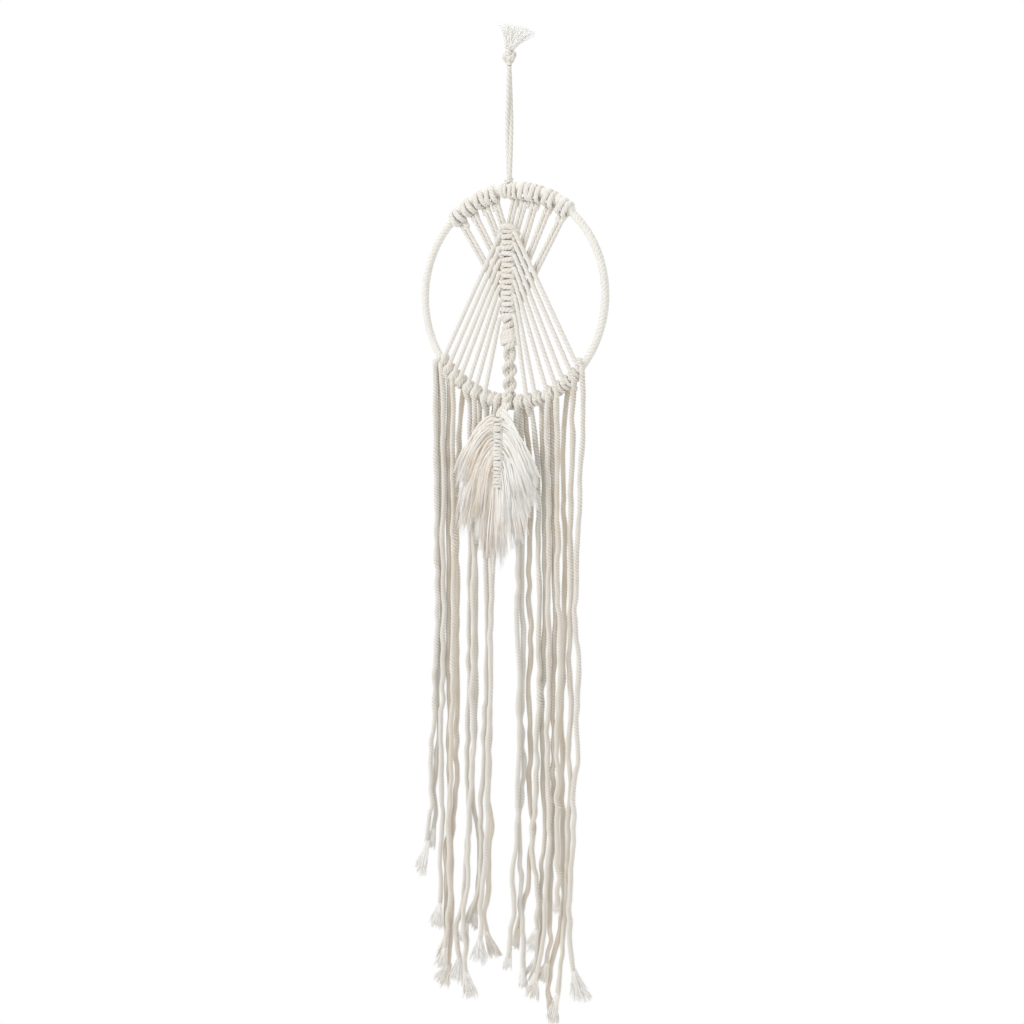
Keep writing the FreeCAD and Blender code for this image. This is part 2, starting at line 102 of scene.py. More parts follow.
# Each strand: layer (-1 front, 0 middle, 1 back), ring angle of its hitch from the bottom, then its
# route as (across from its hitch, down from the bend).
FRINGE_LEFT = [
    (-1, -58.0, [(0, -12), (-1, 32), (1, 72), (-1, 110), (1, 148), (-2, 186), (-4, 228), (-4, 256),
                 (-10, 281), (-7, 309), (-9, 337), (-13, 362), (-18, 384)]),
    (0, -58.0, [(1, -14), (0, 27), (1, 66), (-1, 107), (1, 148), (-2, 191), (-4, 231), (-3, 256),
                (-5, 282), (-8, 309), (-7, 337), (-11, 362)]),
    (-1, -51.5, [(3, -12), (1, 26), (2, 64), (0, 104), (1, 147), (0, 192), (-1, 239), (-3, 282),
                 (-2, 318), (-3, 350), (-5, 374), (-4, 402), (-8, 428)]),
    (0, -46.0, [(0, -14), (-2, 17), (-1, 53), (-2, 95), (-1, 139), (-3, 180), (-2, 222), (-4, 262),
                (-3, 300), (-4, 331), (-6, 366), (-5, 396), (-8, 419), (-7, 440), (-12, 458)]),
    (-1, -40.5, [(1, -10), (0, 24), (1, 64), (0, 104), (1, 146), (-1, 187), (-2, 229), (-4, 272),
                 (-4, 303), (-6, 336), (-7, 367), (-6, 393), (-7, 420), (-9, 443), (-15, 465)]),
    (1, -35.5, [(-3, -11), (-5, 17), (-8, 49), (-7, 81), (-8, 114), (-7, 147), (-9, 189), (-8, 231),
                (-9, 274), (-10, 308), (-13, 340), (-16, 367), (-17, 391), (-14, 415), (-16, 441),
                (-17, 465), (-25, 485)]),
    (0, -29.0, [(0, -4), (1, 24), (-1, 60), (0, 100), (-1, 145), (-2, 186), (-1, 224), (-3, 262),
                (-4, 300), (-2, 330), (-5, 366), (-8, 398), (-15, 423), (-15, 441), (-12, 458),
                (-15, 475)]),
    (-1, -23.3, [(1, -5), (0, 27), (-1, 67), (0, 107), (-2, 145), (-1, 184), (-3, 226), (-2, 268),
                 (-5, 309), (-6, 341), (-9, 370), (-10, 398), (-12, 421), (-10, 442), (-11, 463),
                 (-7, 482)]),
    (1, -23.3, [(0, -2), (-1, 30), (-3, 68), (-5, 112), (-4, 153), (-6, 188), (-5, 222), (-7, 260),
                (-9, 297), (-8, 319), (-3, 338), (-2, 358), (-3, 384), (-6, 405), (-9, 425)]),
    (0, -16.5, [(0, -1), (-1, 31), (0, 70), (-1, 111), (0, 147), (1, 172), (-1, 203), (-2, 240),
                (-3, 280), (-6, 311), (-7, 341), (-6, 369), (-11, 395), (-19, 413), (-23, 426),
                (-25, 437)]),
    (1, -12.0, [(-4, 1), (-5, 35), (-4, 75), (-5, 111), (-4, 136), (-6, 160), (-5, 184), (-7, 216),
                (-6, 256), (-7, 285), (-9, 305), (-6, 322), (-3, 335), (-7, 352), (-8, 376),
                (-12, 408), (-11, 428), (-4, 445)]),
    (-1, -8.0, [(-2, 0), (-3, 30), (-2, 69), (-3, 109), (-5, 145), (-6, 176), (-5, 208), (-7, 240),
                (-8, 273), (-10, 303), (-9, 324), (-10, 347), (-12, 370), (-15, 395), (-16, 422),
                (-18, 448)]),
]
FRINGE_RIGHT = [
    (-1, 5.7, [(-2, 0), (0, 29), (2, 64), (0, 97), (1, 130), (-1, 163), (2, 197), (1, 232),
               (2, 269), (0, 306), (1, 338), (-4, 359), (-6, 375), (-1, 392), (-6, 412), (-7, 430),
               (-9, 447)]),
    (0, 5.7, [(0, 1), (2, 31), (3, 64), (2, 101), (1, 139), (4, 172), (2, 204), (1, 239), (3, 274),
              (1, 307), (-1, 335), (1, 362), (0, 390), (4, 419), (2, 441), (3, 462)]),
    (1, 5.7, [(3, 3), (6, 33), (7, 64), (6, 100), (5, 138), (8, 171), (5, 203), (6, 233), (7, 264),
              (6, 292), (7, 314), (11, 332), (5, 352), (6, 374), (2, 394), (-4, 413), (-7, 432)]),
    (0, 11.8, [(4, 5), (7, 34), (8, 64), (8, 98), (9, 138), (8, 178), (9, 210), (7, 243), (8, 276),
               (7, 300), (4, 321), (3, 341), (6, 357), (7, 377), (9, 397), (7, 413), (3, 428)]),
    (1, 17.7, [(0, -2), (1, 29), (3, 60), (3, 96), (4, 138), (3, 178), (1, 217), (1, 259), (2, 293),
               (4, 324), (2, 348), (1, 373), (0, 396), (1, 416), (-3, 437), (-9, 457)]),
    (-1, 25.5, [(-1, -3), (0, 27), (1, 58), (2, 93), (1, 136), (2, 175), (1, 215), (0, 254),
                (3, 292), (4, 325), (2, 353), (0, 376), (-1, 401), (-4, 427), (-10, 450), (-13, 466)]),
    (0, 25.5, [(1, -4), (2, 28), (3, 58), (4, 94), (5, 136), (4, 176), (3, 217), (4, 257), (3, 287),
               (4, 319), (2, 352), (1, 377), (2, 400), (1, 421), (-1, 438), (-6, 453)]),
    (-1, 31.8, [(0, -7), (1, 27), (0, 58), (2, 90), (1, 120), (4, 151), (5, 183), (2, 218),
                (1, 252), (3, 283), (2, 308), (3, 336), (5, 362), (2, 387)]),
    (1, 37.5, [(-5, -9), (-6, 28), (-5, 59), (-3, 94), (-4, 132), (-3, 168), (-6, 208), (-4, 250),
               (-6, 292), (-3, 328), (-4, 362), (-3, 387), (-6, 410), (-12, 435), (-17, 454),
               (-16, 471), (-12, 486)]),
    (0, 44.0, [(-3, -16), (-2, 14), (-3, 50), (-4, 88), (-2, 127), (-3, 158), (-4, 186), (-2, 216),
               (-3, 254), (-2, 291), (-4, 316), (-5, 341), (-3, 368), (-6, 395), (-7, 421),
               (-10, 447), (-14, 469), (-17, 484)]),
    (-1, 52.5, [(1, -20), (1, 7), (-1, 34), (-1, 62), (-3, 92), (-4, 128), (-5, 155), (-1, 180),
                (-3, 204), (-3, 228), (0, 255), (-5, 281), (-4, 312), (-6, 341), (-7, 371),
                (-8, 395), (-5, 426), (2, 455)]),
]

# How each strand ends: length of the frayed part, half width it opens to, lean to the right, all in
# millimetres.
ENDS_LEFT = [
    (26, 3.6, -3), (14, 3.0, -1), (17, 5.0, -2), (16, 3.5, -1), (16, 4.5, -2), (18, 6.0, -3),
    (18, 6.5, -1), (17, 5.5, 1), (15, 3.5, 0), (14, 4.0, 0), (16, 4.5, 3), (16, 6.0, 0),
]
ENDS_RIGHT = [
    (13, 2.8, -1), (13, 3.2, 0), (13, 2.8, -1), (16, 4.5, -1), (18, 5.0, -1), (17, 5.0, 0),
    (15, 4.0, -1), (9, 2.6, 0), (20, 3.6, 2), (22, 3.6, -1), (19, 6.5, 2),
]

# Locks of the feather: row of the sennit each leaves, then the place of its tip as (across, down) and
# its depth, half width and warmth, which paints warm shade on the locks that lie in shadow.
LOCKS_LEFT = [
    (9.9, 0, 96, 0.4, 4.5, 0.2), (9.6, -2, 114, 1.6, 5.5, 0.1), (9.3, -7, 117, 0.4, 5.5, 0.0),
    (9.0, -12, 111, 1.2, 5.0, 0.2), (8.4, -17, 106, 2.0, 5.0, 0.9), (8.0, -3, 100, -0.6, 4.5, 0.3),
    (7.6, -22, 94, 1.0, 5.5, 0.2), (7.0, -28, 90, 2.2, 5.0, 0.3), (6.8, -13, 92, -0.8, 4.5, 1.0),
    (6.0, -33, 85, 0.6, 5.5, 0.0), (6.6, -33, 90, 0.0, 5.5, 0.1), (5.4, -35, 84, -0.8, 5.5, 0.2),
    (4.4, -36, 78, -1.4, 5.0, 0.1), (5.8, -24, 78, -1.2, 4.5, 0.2), (5.0, -18, 80, -1.8, 4.5, 1.1),
    (4.6, -36, 68, 0.4, 4.5, 0.2), (4.0, -29, 66, -1.6, 4.5, 0.5), (3.6, -22, 68, -2.4, 4.0, 1.3),
    (2.8, -34, 60, -1.2, 4.0, 1.0), (2.2, -27, 56, -2.6, 3.6, 1.4), (1.4, -39, 54, -1.0, 4.0, 0.1),
    (1.0, -36, 50, -2.2, 4.5, 0.0), (0.4, -41, 48, -1.6, 4.5, 0.0), (0.0, -38, 44, -2.6, 4.5, 0.1),
    (-0.6, -33, 40, -2.0, 3.5, 0.0),
]
LOCKS_RIGHT = [
    (9.6, 2, 112, 1.4, 4.0, 0.1), (9.4, 6, 100, 0.6, 5.0, 0.2), (9.0, 12, 97, 1.4, 5.0, 0.1),
    (8.4, 17, 92, 2.0, 5.0, 0.9), (8.0, 5, 86, -0.8, 5.0, 0.0), (7.4, 22, 88, 1.6, 5.0, 0.3),
    (6.8, 26, 82, 2.2, 4.5, 0.2), (6.4, 11, 74, -1.4, 5.0, 0.0), (5.6, 28, 74, 1.0, 4.5, 1.0),
    (5.2, 16, 66, -1.8, 5.0, 0.0), (4.6, 31, 68, 0.4, 4.0, 0.3), (4.0, 21, 62, -2.0, 5.0, 0.1),
    (3.4, 33, 62, 0.0, 4.0, 0.2), (2.8, 26, 58, -2.2, 5.0, 0.0), (2.2, 31, 54, -1.2, 4.0, 0.6),
    (1.6, 33, 51, -2.4, 4.5, 0.0), (0.8, 36, 50, -1.6, 4.0, 0.3), (0.2, 37, 48, -2.6, 4.5, 0.1),
    (9.8, 3, 84, 0.0, 4.5, 0.0), (-0.8, 26, 36, -2.0, 4.0, 0.0), (-1.4, 20, 30, -1.4, 4.0, 0.1),
]


# ------------------------------------------------------------------ settings a user would change
class CordSettings(bpy.types.PropertyGroup):
    """Widths, lays and colours of the cords."""
    fringe_width: bpy.props.FloatProperty(
        name="Fringe Cord", description="Diameter of the hanging cords", default=0.004,
        min=0.001, max=0.01, unit="LENGTH")
    taut_width: bpy.props.FloatProperty(
        name="Taut Cord", description="Diameter of the stretched cords", default=0.0032,
        min=0.001, max=0.01, unit="LENGTH")
    lay_length: bpy.props.FloatProperty(
        name="Twist Length", description="Length of cord in which a ply goes once round",
        default=0.0068, min=0.003, max=0.05, unit="LENGTH")
    wound_lead: bpy.props.FloatProperty(
        name="Winding Lead", description="How far the winding goes along the hoop in one turn",
        default=0.0125, min=0.002, max=0.05, unit="LENGTH")
    light: bpy.props.FloatVectorProperty(
        name="Cotton", description="Colour of the cotton where light reaches it",
        default=(0.83, 0.815, 0.775), size=3, min=0, max=1, subtype="COLOR")
    # This colour is painted shade: it is mixed in at the grooves between the plies, in place of the
    # shadow there.
    shade: bpy.props.FloatVectorProperty(
        name="Groove Shade Colour", description="Colour of the cotton between the plies",
        default=(0.50, 0.445, 0.36), size=3, min=0, max=1, subtype="COLOR")
    # This colour is both the tone of less bleached fibre and painted warm shade, laid on back cords and
    # shaded locks.
    warm_tone_and_shade: bpy.props.FloatVectorProperty(
        name="Unbleached and Warm Shade", description="Colour of the less bleached fibres",
        default=(0.70, 0.585, 0.44), size=3, min=0, max=1, subtype="COLOR")


class FeatherSettings(bpy.types.PropertyGroup):
    """The combed-out fibres of the feather."""
    fibres: bpy.props.IntProperty(
        name="Fibres per Side", description="Combed-out fibres on each side of the feather",
        default=1680, min=100, max=4000)
    thickness: bpy.props.FloatProperty(
        name="Fibre Width", description="Diameter of one bundle of combed fibre",
        default=0.00068, min=0.0001, max=0.002, unit="LENGTH")
    light: bpy.props.FloatVectorProperty(
        name="Brushed Cotton", description="Colour of the brushed-out fibres",
        default=(0.97, 0.96, 0.935), size=3, min=0, max=1, subtype="COLOR")


class StageSettings(bpy.types.PropertyGroup):
    """The floor and the light."""
    backdrop: bpy.props.FloatVectorProperty(
        name="Backdrop", description="Colour of the floor",
        default=(0.93, 0.93, 0.93), size=3, min=0, max=1, subtype="COLOR")
    key_power: bpy.props.FloatProperty(
        name="Key Light", description="Power of the soft light at the upper left",
        default=15.0, min=0, max=500, unit="POWER")
    surround: bpy.props.FloatProperty(
        name="Surround", description="Brightness of the light from all round", default=0.62,
        min=0, max=3)


# ------------------------------------------------------------------ mesh building
class Skein:
    """Collects tubes for one mesh, with their texture places, groove depths that paint shade in the
    grooves, and tints.
    """

    def __init__(self):
        self.points, self.corners, self.sizes = [], [], []
        self.uvs, self.grooves, self.tints = [], [], []
        self.count = 0

    def tubes(self, rings, along, groove, tint):
        """Closed tubes: rings[tube, station, side, xyz], along[tube, station] in metres."""
        tubes, stations, sides = rings.shape[:3]
        index = np.arange(tubes * stations * sides).reshape(tubes, stations, sides) + self.count
        nxt = np.roll(index, -1, axis=2)
        quads = np.stack([index[:, :-1], nxt[:, :-1], nxt[:, 1:], index[:, 1:]], axis=-1)
        share = np.arange(sides) / sides
        low = np.broadcast_to(along[:, :-1, None], quads.shape[:3])
        high = np.broadcast_to(along[:, 1:, None], quads.shape[:3])
        left = np.broadcast_to(share, quads.shape[:3])
        right = left + 1.0 / sides
        uv = np.stack([low, left, low, right, high, right, high, left], axis=-1)
        self.corners += [quads.reshape(-1)]
        self.sizes += [np.full(quads.size // 4, 4)]
        self.uvs += [uv.reshape(-1, 2)]
        for end, order in ((0, -1), (-1, 1)):
            cap = index[:, end, ::order]
            self.corners.append(cap.reshape(-1))
            self.sizes.append(np.full(tubes, sides))
            place = np.repeat(along[:, end], sides)
            self.uvs.append(np.stack([place, np.tile(share, tubes)], axis=-1))
        self.points.append(rings.reshape(-1, 3))
        self.grooves.append(np.broadcast_to(groove, rings.shape[:3]).reshape(-1))
        self.tints.append(np.broadcast_to(tint, rings.shape[:3]).reshape(-1))
        self.count += tubes * stations * sides

    def build(self, name, finish):
        """The mesh object, with its finish."""
        mesh = bpy.data.meshes.new(name)
        points = np.concatenate(self.points)
        corners = np.concatenate(self.corners)
        sizes = np.concatenate(self.sizes)
        starts = np.concatenate([[0], np.cumsum(sizes)[:-1]])
        mesh.vertices.add(len(points))
        mesh.vertices.foreach_set("co", points.astype(np.float32).ravel())
        mesh.loops.add(len(corners))
        mesh.loops.foreach_set("vertex_index", corners.astype(np.int32))
        mesh.polygons.add(len(sizes))
        mesh.polygons.foreach_set("loop_start", starts.astype(np.int32))
        mesh.polygons.foreach_set("use_smooth", np.ones(len(sizes), bool))
        layer = mesh.uv_layers.new(name="Strand")
        layer.data.foreach_set("uv", np.concatenate(self.uvs).astype(np.float32).ravel())
        for label, values in (("groove", self.grooves), ("tint", self.tints)):
            attribute = mesh.attributes.new(label, "FLOAT", "POINT")
            attribute.data.foreach_set("value", np.concatenate(values).astype(np.float32))
        mesh.update(calc_edges=True)
        mesh.materials.append(finish)
        piece = bpy.data.objects.new(name, mesh)
        bpy.context.scene.collection.objects.link(piece)
        return piece


def unit(vectors):
    """The same ways with a length of 1."""
    return vectors / np.maximum(np.linalg.norm(vectors, axis=-1, keepdims=True), 1e-12)


def smooth_line(route, step):
    """Evenly spaced points along the smooth curve that a route's points control, in metres."""
    data = bpy.data.curves.new("route", "CURVE")
    data.dimensions = "3D"
    data.resolution_u = 12
    spline = data.splines.new("NURBS")
    spline.points.add(len(route) - 1)
    for knot, place in zip(spline.points, route):
        knot.co = (*place, 1.0)
    spline.order_u = 3
    spline.use_endpoint_u = True
    holder = bpy.data.objects.new("route", data)
    mesh = bpy.data.meshes.new_from_object(holder)
    line = np.empty(len(mesh.vertices) * 3)
    mesh.vertices.foreach_get("co", line)
    bpy.data.objects.remove(holder)
    bpy.data.curves.remove(data)
    bpy.data.meshes.remove(mesh)
    return even_line(line.reshape(-1, 3), step)


def even_line(line, step):
    """The same line with its points a step apart."""
    gone = np.concatenate([[0], np.cumsum(np.linalg.norm(np.diff(line, axis=0), axis=1))])
    count = max(3, int(math.ceil(gone[-1] / step)) + 1)
    places = np.linspace(0, gone[-1], count)
    return np.stack([np.interp(places, gone, line[:, axis]) for axis in range(3)], axis=1)


def carried_frames(line):
    """Tangents and two normals at each point, carried along the line without twisting."""
    tangent = unit(np.gradient(line, axis=0))
    normal = np.empty_like(line)
    guess = np.array([0.0, -1.0, 0.0])
    if abs(tangent[0] @ guess) > 0.9:
        guess = np.array([1.0, 0.0, 0.0])
    for i, along in enumerate(tangent):
        guess = guess - (guess @ along) * along
        guess = guess / np.linalg.norm(guess)
        normal[i] = guess
    return tangent, normal, np.cross(tangent, normal)


def ply_section(plies, sides_per_ply, softness):
    """Radius round a twisted cord of full radius 1, and how deep in a groove each place lies, which
    sets the painted groove shade.
    """
    sides = plies * sides_per_ply
    angle = 2 * np.pi * np.arange(sides) / sides
    off = np.mod(angle, 2 * np.pi / plies) - np.pi / plies
    hub, ply = 0.5 - softness, 0.5 + softness
    radius = hub * np.cos(off) + np.sqrt(ply**2 - (hub * np.sin(off))**2)
    depth = (radius - radius.min()) / max(radius.max() - radius.min(), 1e-9)
    return angle, radius, depth


def wander(rng, gone, wave, columns):
    """Smooth random wandering along a cord, between -1 and 1, a wave from turn to turn."""
    values = rng.uniform(-1, 1, (int(gone[-1] / wave) + 3, columns))
    low = np.floor(gone / wave).astype(int)
    share = (gone / wave - low)[:, None]
    share = share * share * (3 - 2 * share)
    return values[low] * (1 - share) + values[low + 1] * share


def rope(skein, line, width, lay, tint=0.3, softness=0.08, start=0.0, ends=(1.0, 1.0),
         calm=0.0, rng=None, flat=None, uneven=0.06):
    """A twisted cord along a line.

    ends is the share of its width at each end, calm how far its twist is smoothed out, flat the
    directions in which it is pressed at each point, with how thick that leaves it, and uneven the
    share by which its width varies.
    """
    angle, radius, depth = ply_section(3, 6, softness)
    tangent, normal, other = carried_frames(line)
    steps = np.linalg.norm(np.diff(line, axis=0), axis=1)
    gone = np.concatenate([[0], np.cumsum(steps)])
    share, turn = np.ones(len(line)), gone / lay
    calm = np.broadcast_to(calm, len(line))
    if rng is not None:
        loose = wander(rng, gone, 0.016, 3)
        turn = turn + 0.22 * loose[:, 0]
        share = 1 + uneven * loose[:, 1]
        calm = np.clip(calm + 0.35 * loose[:, 2], 0, 0.9)
    spin = angle[None, :] + start - 2 * np.pi * turn[:, None]
    for from_end, keep in ((gone, ends[0]), (gone[-1] - gone, ends[1])):
        near = np.clip(from_end / width, 0, 1)
        share = share * (keep + (1 - keep) * np.sqrt(np.clip(1 - (1 - near)**2, 0, 1)))
    radius = radius[None, :] * (1 - calm[:, None]) + radius.mean() * calm[:, None]
    # Calm also evens out the painted groove shade.
    depth = depth[None, :] * (1 - calm[:, None]) + 0.75 * calm[:, None]
    reach = (width / 2) * radius * share[:, None]
    offsets = reach[..., None] * (
        np.cos(spin)[..., None] * normal[:, None] + np.sin(spin)[..., None] * other[:, None])
    if flat is not None:
        ways, thick = flat
        ways = unit(ways - (ways * tangent).sum(axis=1, keepdims=True) * tangent)
        inward = (offsets * ways[:, None]).sum(axis=2, keepdims=True) * ways[:, None]
        offsets = (offsets - inward) / math.sqrt(thick) + inward * thick
    skein.tubes((line[:, None] + offsets)[None], gone[None], depth[None], tint)


def fibres(skein, lines, thickness, tints, tip=0.35):
    """Many thin fibres at once: lines[fibre, station, xyz]."""
    tangent = unit(np.gradient(lines, axis=1))
    reference = np.array([0.31, 0.87, 0.38])
    normal = unit(np.cross(tangent, reference))
    other = np.cross(tangent, normal)
    stations = lines.shape[1]
    taper = np.interp(np.linspace(0, 1, stations), [0, 0.7, 1], [1, 0.9, tip])
    angle = 2 * np.pi * np.arange(3) / 3
    reach = (thickness / 2) * taper[None, :, None, None]
    rings = lines[:, :, None] + reach * (
        np.cos(angle)[None, None, :, None] * normal[:, :, None]
        + np.sin(angle)[None, None, :, None] * other[:, :, None])
    steps = np.linalg.norm(np.diff(lines, axis=1), axis=2)
    along = np.concatenate([np.zeros((len(lines), 1)), np.cumsum(steps, axis=1)], axis=1)
    # Each fibre takes an even share of the painted groove shade.
    skein.tubes(rings, along, 0.75, tints[:, None, None])


def bent_fibres(rng, roots, bends, tips, stations, crimp, wave):
    """Fibres from root to tip past a bend, with the crimp that untwisting leaves."""
    t = np.linspace(0, 1, stations)[None, :, None]
    lines = (1 - t)**2 * roots[:, None] + 2 * t * (1 - t) * bends[:, None] + t**2 * tips[:, None]
    length = np.linalg.norm(tips - roots, axis=1)[:, None]
    phase = rng.uniform(0, 2 * np.pi, (len(roots), 1))
    swing = np.sin(phase + 2 * np.pi * t[..., 0] * length / wave)
    aside = unit(rng.normal(size=(len(roots), 3)))[:, None]
    return lines + crimp * (swing * t[..., 0])[..., None] * aside


def from_ring(line):
    """Which way each point lies from the ring's own centreline."""
    centre = np.array([RING_X, 0, RING_Z]) * MM
    away = line - centre
    flat = np.stack([away[:, 0], np.zeros(len(line)), away[:, 2]], axis=1)
    return unit(line - (centre + unit(flat) * RING_R * MM))


def ring_frame(angle):
    """Point of the ring at an angle clockwise from the top, with its outward and onward ways."""
    a = math.radians(angle)
    outward = np.array([math.sin(a), 0, math.cos(a)])
    onward = np.array([math.cos(a), 0, -math.sin(a)])
    return np.array([RING_X, 0, RING_Z]) + RING_R * outward, outward, onward


def by_ring(angle, places):
    """Points given as (onward, outward, forward) from a point of the ring, in millimetres."""
    centre, outward, onward = ring_frame(angle)
    forward = np.array([0, -1.0, 0])
    return [centre + t * onward + n * outward + f * forward for t, n, f in places]


def metres(route):
    """A route given in millimetres, in metres."""
    return [tuple(float(x) * MM for x in place) for place in route]


# ------------------------------------------------------------------ finishes
def join(tree, source, target):
    """Links an output to an input."""
    tree.links.new(source, target)


def math_node(tree, operation, first, second, clamp=False):
    """The output of one sum on numbers or other outputs."""
    node = tree.nodes.new("ShaderNodeMath")
    node.operation = operation
    node.use_clamp = clamp
    for place, value in enumerate((first, second)):
        if isinstance(value, (int, float)):
            node.inputs[place].default_value = value
        else:
            join(tree, value, node.inputs[place])
    return node.outputs[0]


def mix_colour(tree, factor, first, second):
    """The output that goes from the first colour to the second by the factor."""
    node = tree.nodes.new("ShaderNodeMix")
    node.data_type = "RGBA"
    for name, value in (("Factor_Float", factor), ("A_Color", first), ("B_Color", second)):
        join(tree, value, next(s for s in node.inputs if s.identifier == name))
    return next(s for s in node.outputs if s.identifier == "Result_Color")


def noise_node(tree, vector, scale, detail, roughness=0.55):
    """The output of a soft random pattern."""
    node = tree.nodes.new("ShaderNodeTexNoise")
    node.inputs["Scale"].default_value = scale
    node.inputs["Detail"].default_value = detail
    node.inputs["Roughness"].default_value = roughness
    join(tree, vector, node.inputs["Vector"])
    return node.outputs["Fac"]


def ramp_node(tree, factor, low, high):
    """The output that runs from one colour to another with the factor."""
    ramp = tree.nodes.new("ShaderNodeValToRGB")
    ramp.color_ramp.elements[0].color = (*low, 1)
    ramp.color_ramp.elements[1].color = (*high, 1)
    join(tree, factor, ramp.inputs["Fac"])
    return ramp.outputs["Color"]


def plain_finish(name):
    """A new finish, with its nodes and its shader."""
    finish = bpy.data.materials.new(name)
    finish.use_nodes = True
    return finish, finish.node_tree, finish.node_tree.nodes["Principled BSDF"]


def cotton_group():
    """Cotton yarn: fine fibres along each ply, painted shade in the grooves between plies, and a warm
    colour for patches of unbleached fibre and for painted warm shade where a cord's tint asks for it.
    """
    group = bpy.data.node_groups.new("cotton_yarn", "ShaderNodeTree")
    for name, value in (
            ("Light", (0.83, 0.82, 0.78, 1)), ("Groove Shade", (0.5, 0.46, 0.39, 1)),
            ("Unbleached and Warm Shade", (0.72, 0.63, 0.5, 1)), ("Groove Shade Strength", 0.7),
            ("Unbleached and Warm Shade Amount", 0.3)):
        kind = "NodeSocketFloat" if isinstance(value, float) else "NodeSocketColor"
        made = group.interface.new_socket(name=name, in_out="INPUT", socket_type=kind)
        made.default_value = value
    for name, kind in (("Color", "Color"), ("Roughness", "Float"), ("Height", "Float")):
        group.interface.new_socket(name=name, in_out="OUTPUT", socket_type=f"NodeSocket{kind}")
    given = group.nodes.new("NodeGroupInput")
    out = group.nodes.new("NodeGroupOutput")
    strand = group.nodes.new("ShaderNodeUVMap")
    strand.uv_map = "Strand"
    stretch = group.nodes.new("ShaderNodeMapping")
    stretch.inputs["Scale"].default_value = (180.0, 26.0, 1.0)
    join(group, strand.outputs["UV"], stretch.inputs["Vector"])
    streaks = noise_node(group, stretch.outputs["Vector"], 1.0, 4.0, 0.62)
    place = group.nodes.new("ShaderNodeTexCoord")
    patches = noise_node(group, place.outputs["Object"], 55.0, 3.0)
    fuzz = noise_node(group, place.outputs["Object"], 1100.0, 3.0, 0.65)
    # The groove attribute paints shade in the grooves between the plies, mixed with the fibre streaks.
    groove = group.nodes.new("ShaderNodeAttribute")
    groove.attribute_name = "groove"
    tint = group.nodes.new("ShaderNodeAttribute")
    tint.attribute_name = "tint"
    depth = math_node(group, "SUBTRACT", 1.0, groove.outputs["Fac"], True)
    depth = math_node(group, "POWER", depth, 1.6)
    depth = math_node(group, "MULTIPLY", depth, given.outputs["Groove Shade Strength"], True)
    thin = math_node(group, "SUBTRACT", streaks, 0.5)
    thin = math_node(group, "MULTIPLY", thin, 0.9)
    groove_shade_and_streaks = math_node(group, "SUBTRACT", depth, thin, True)
    colour = mix_colour(group, groove_shade_and_streaks, given.outputs["Light"], given.outputs["Groove Shade"])
    # Random patches and each cord's tint mix in the warm colour: the cord's own tone, and painted warm
    # shade where the tint was raised for cords in shadow.
    spread = math_node(group, "SUBTRACT", patches, 0.42)
    spread = math_node(group, "MULTIPLY", spread, 3.0, True)
    spread = math_node(group, "ADD", spread, tint.outputs["Fac"])
    spread = math_node(group, "MULTIPLY", spread, given.outputs["Unbleached and Warm Shade Amount"], True)
    colour = mix_colour(group, spread, colour, given.outputs["Unbleached and Warm Shade"])
    join(group, colour, out.inputs["Color"])
    rough = math_node(group, "MULTIPLY", fuzz, 0.25)
    rough = math_node(group, "ADD", rough, 0.72)
    join(group, rough, out.inputs["Roughness"])
    height = math_node(group, "MULTIPLY", streaks, 0.65)
    loose = math_node(group, "MULTIPLY", fuzz, 0.35)
    height = math_node(group, "ADD", height, loose)
    join(group, height, out.inputs["Height"])
    return group


def cotton_finish(name, light, groove, warm_tone_and_shade, groove_shade_strength, warm_tone_and_shade_amount, relief, sheen, glow):
    """A cotton finish from the shared yarn effect; glow is painted light, an emission of the cotton's
    own colour that brightens it in place of light passing through it.
    """
    finish, tree, shader = plain_finish(name)
    effect = tree.nodes.new("ShaderNodeGroup")
    effect.node_tree = bpy.data.node_groups.get("cotton_yarn") or cotton_group()
    effect.inputs["Light"].default_value = (*light, 1)
    effect.inputs["Groove Shade"].default_value = (*groove, 1)
    effect.inputs["Unbleached and Warm Shade"].default_value = (*warm_tone_and_shade, 1)
    effect.inputs["Groove Shade Strength"].default_value = groove_shade_strength
    effect.inputs["Unbleached and Warm Shade Amount"].default_value = warm_tone_and_shade_amount
    bump = tree.nodes.new("ShaderNodeBump")
    bump.inputs["Strength"].default_value = relief
    bump.inputs["Distance"].default_value = 0.0003
    join(tree, effect.outputs["Color"], shader.inputs["Base Color"])
    join(tree, effect.outputs["Roughness"], shader.inputs["Roughness"])
    join(tree, effect.outputs["Height"], bump.inputs["Height"])
    join(tree, bump.outputs["Normal"], shader.inputs["Normal"])
    # Painted light: the cotton's own colour given off as emission.
    if glow:
        join(tree, effect.outputs["Color"], shader.inputs["Emission Color"])
        shader.inputs["Emission Strength"].default_value = glow
    shader.inputs["Specular IOR Level"].default_value = 0.2
    shader.inputs["Sheen Weight"].default_value = sheen
    shader.inputs["Sheen Roughness"].default_value = 0.6
    return finish


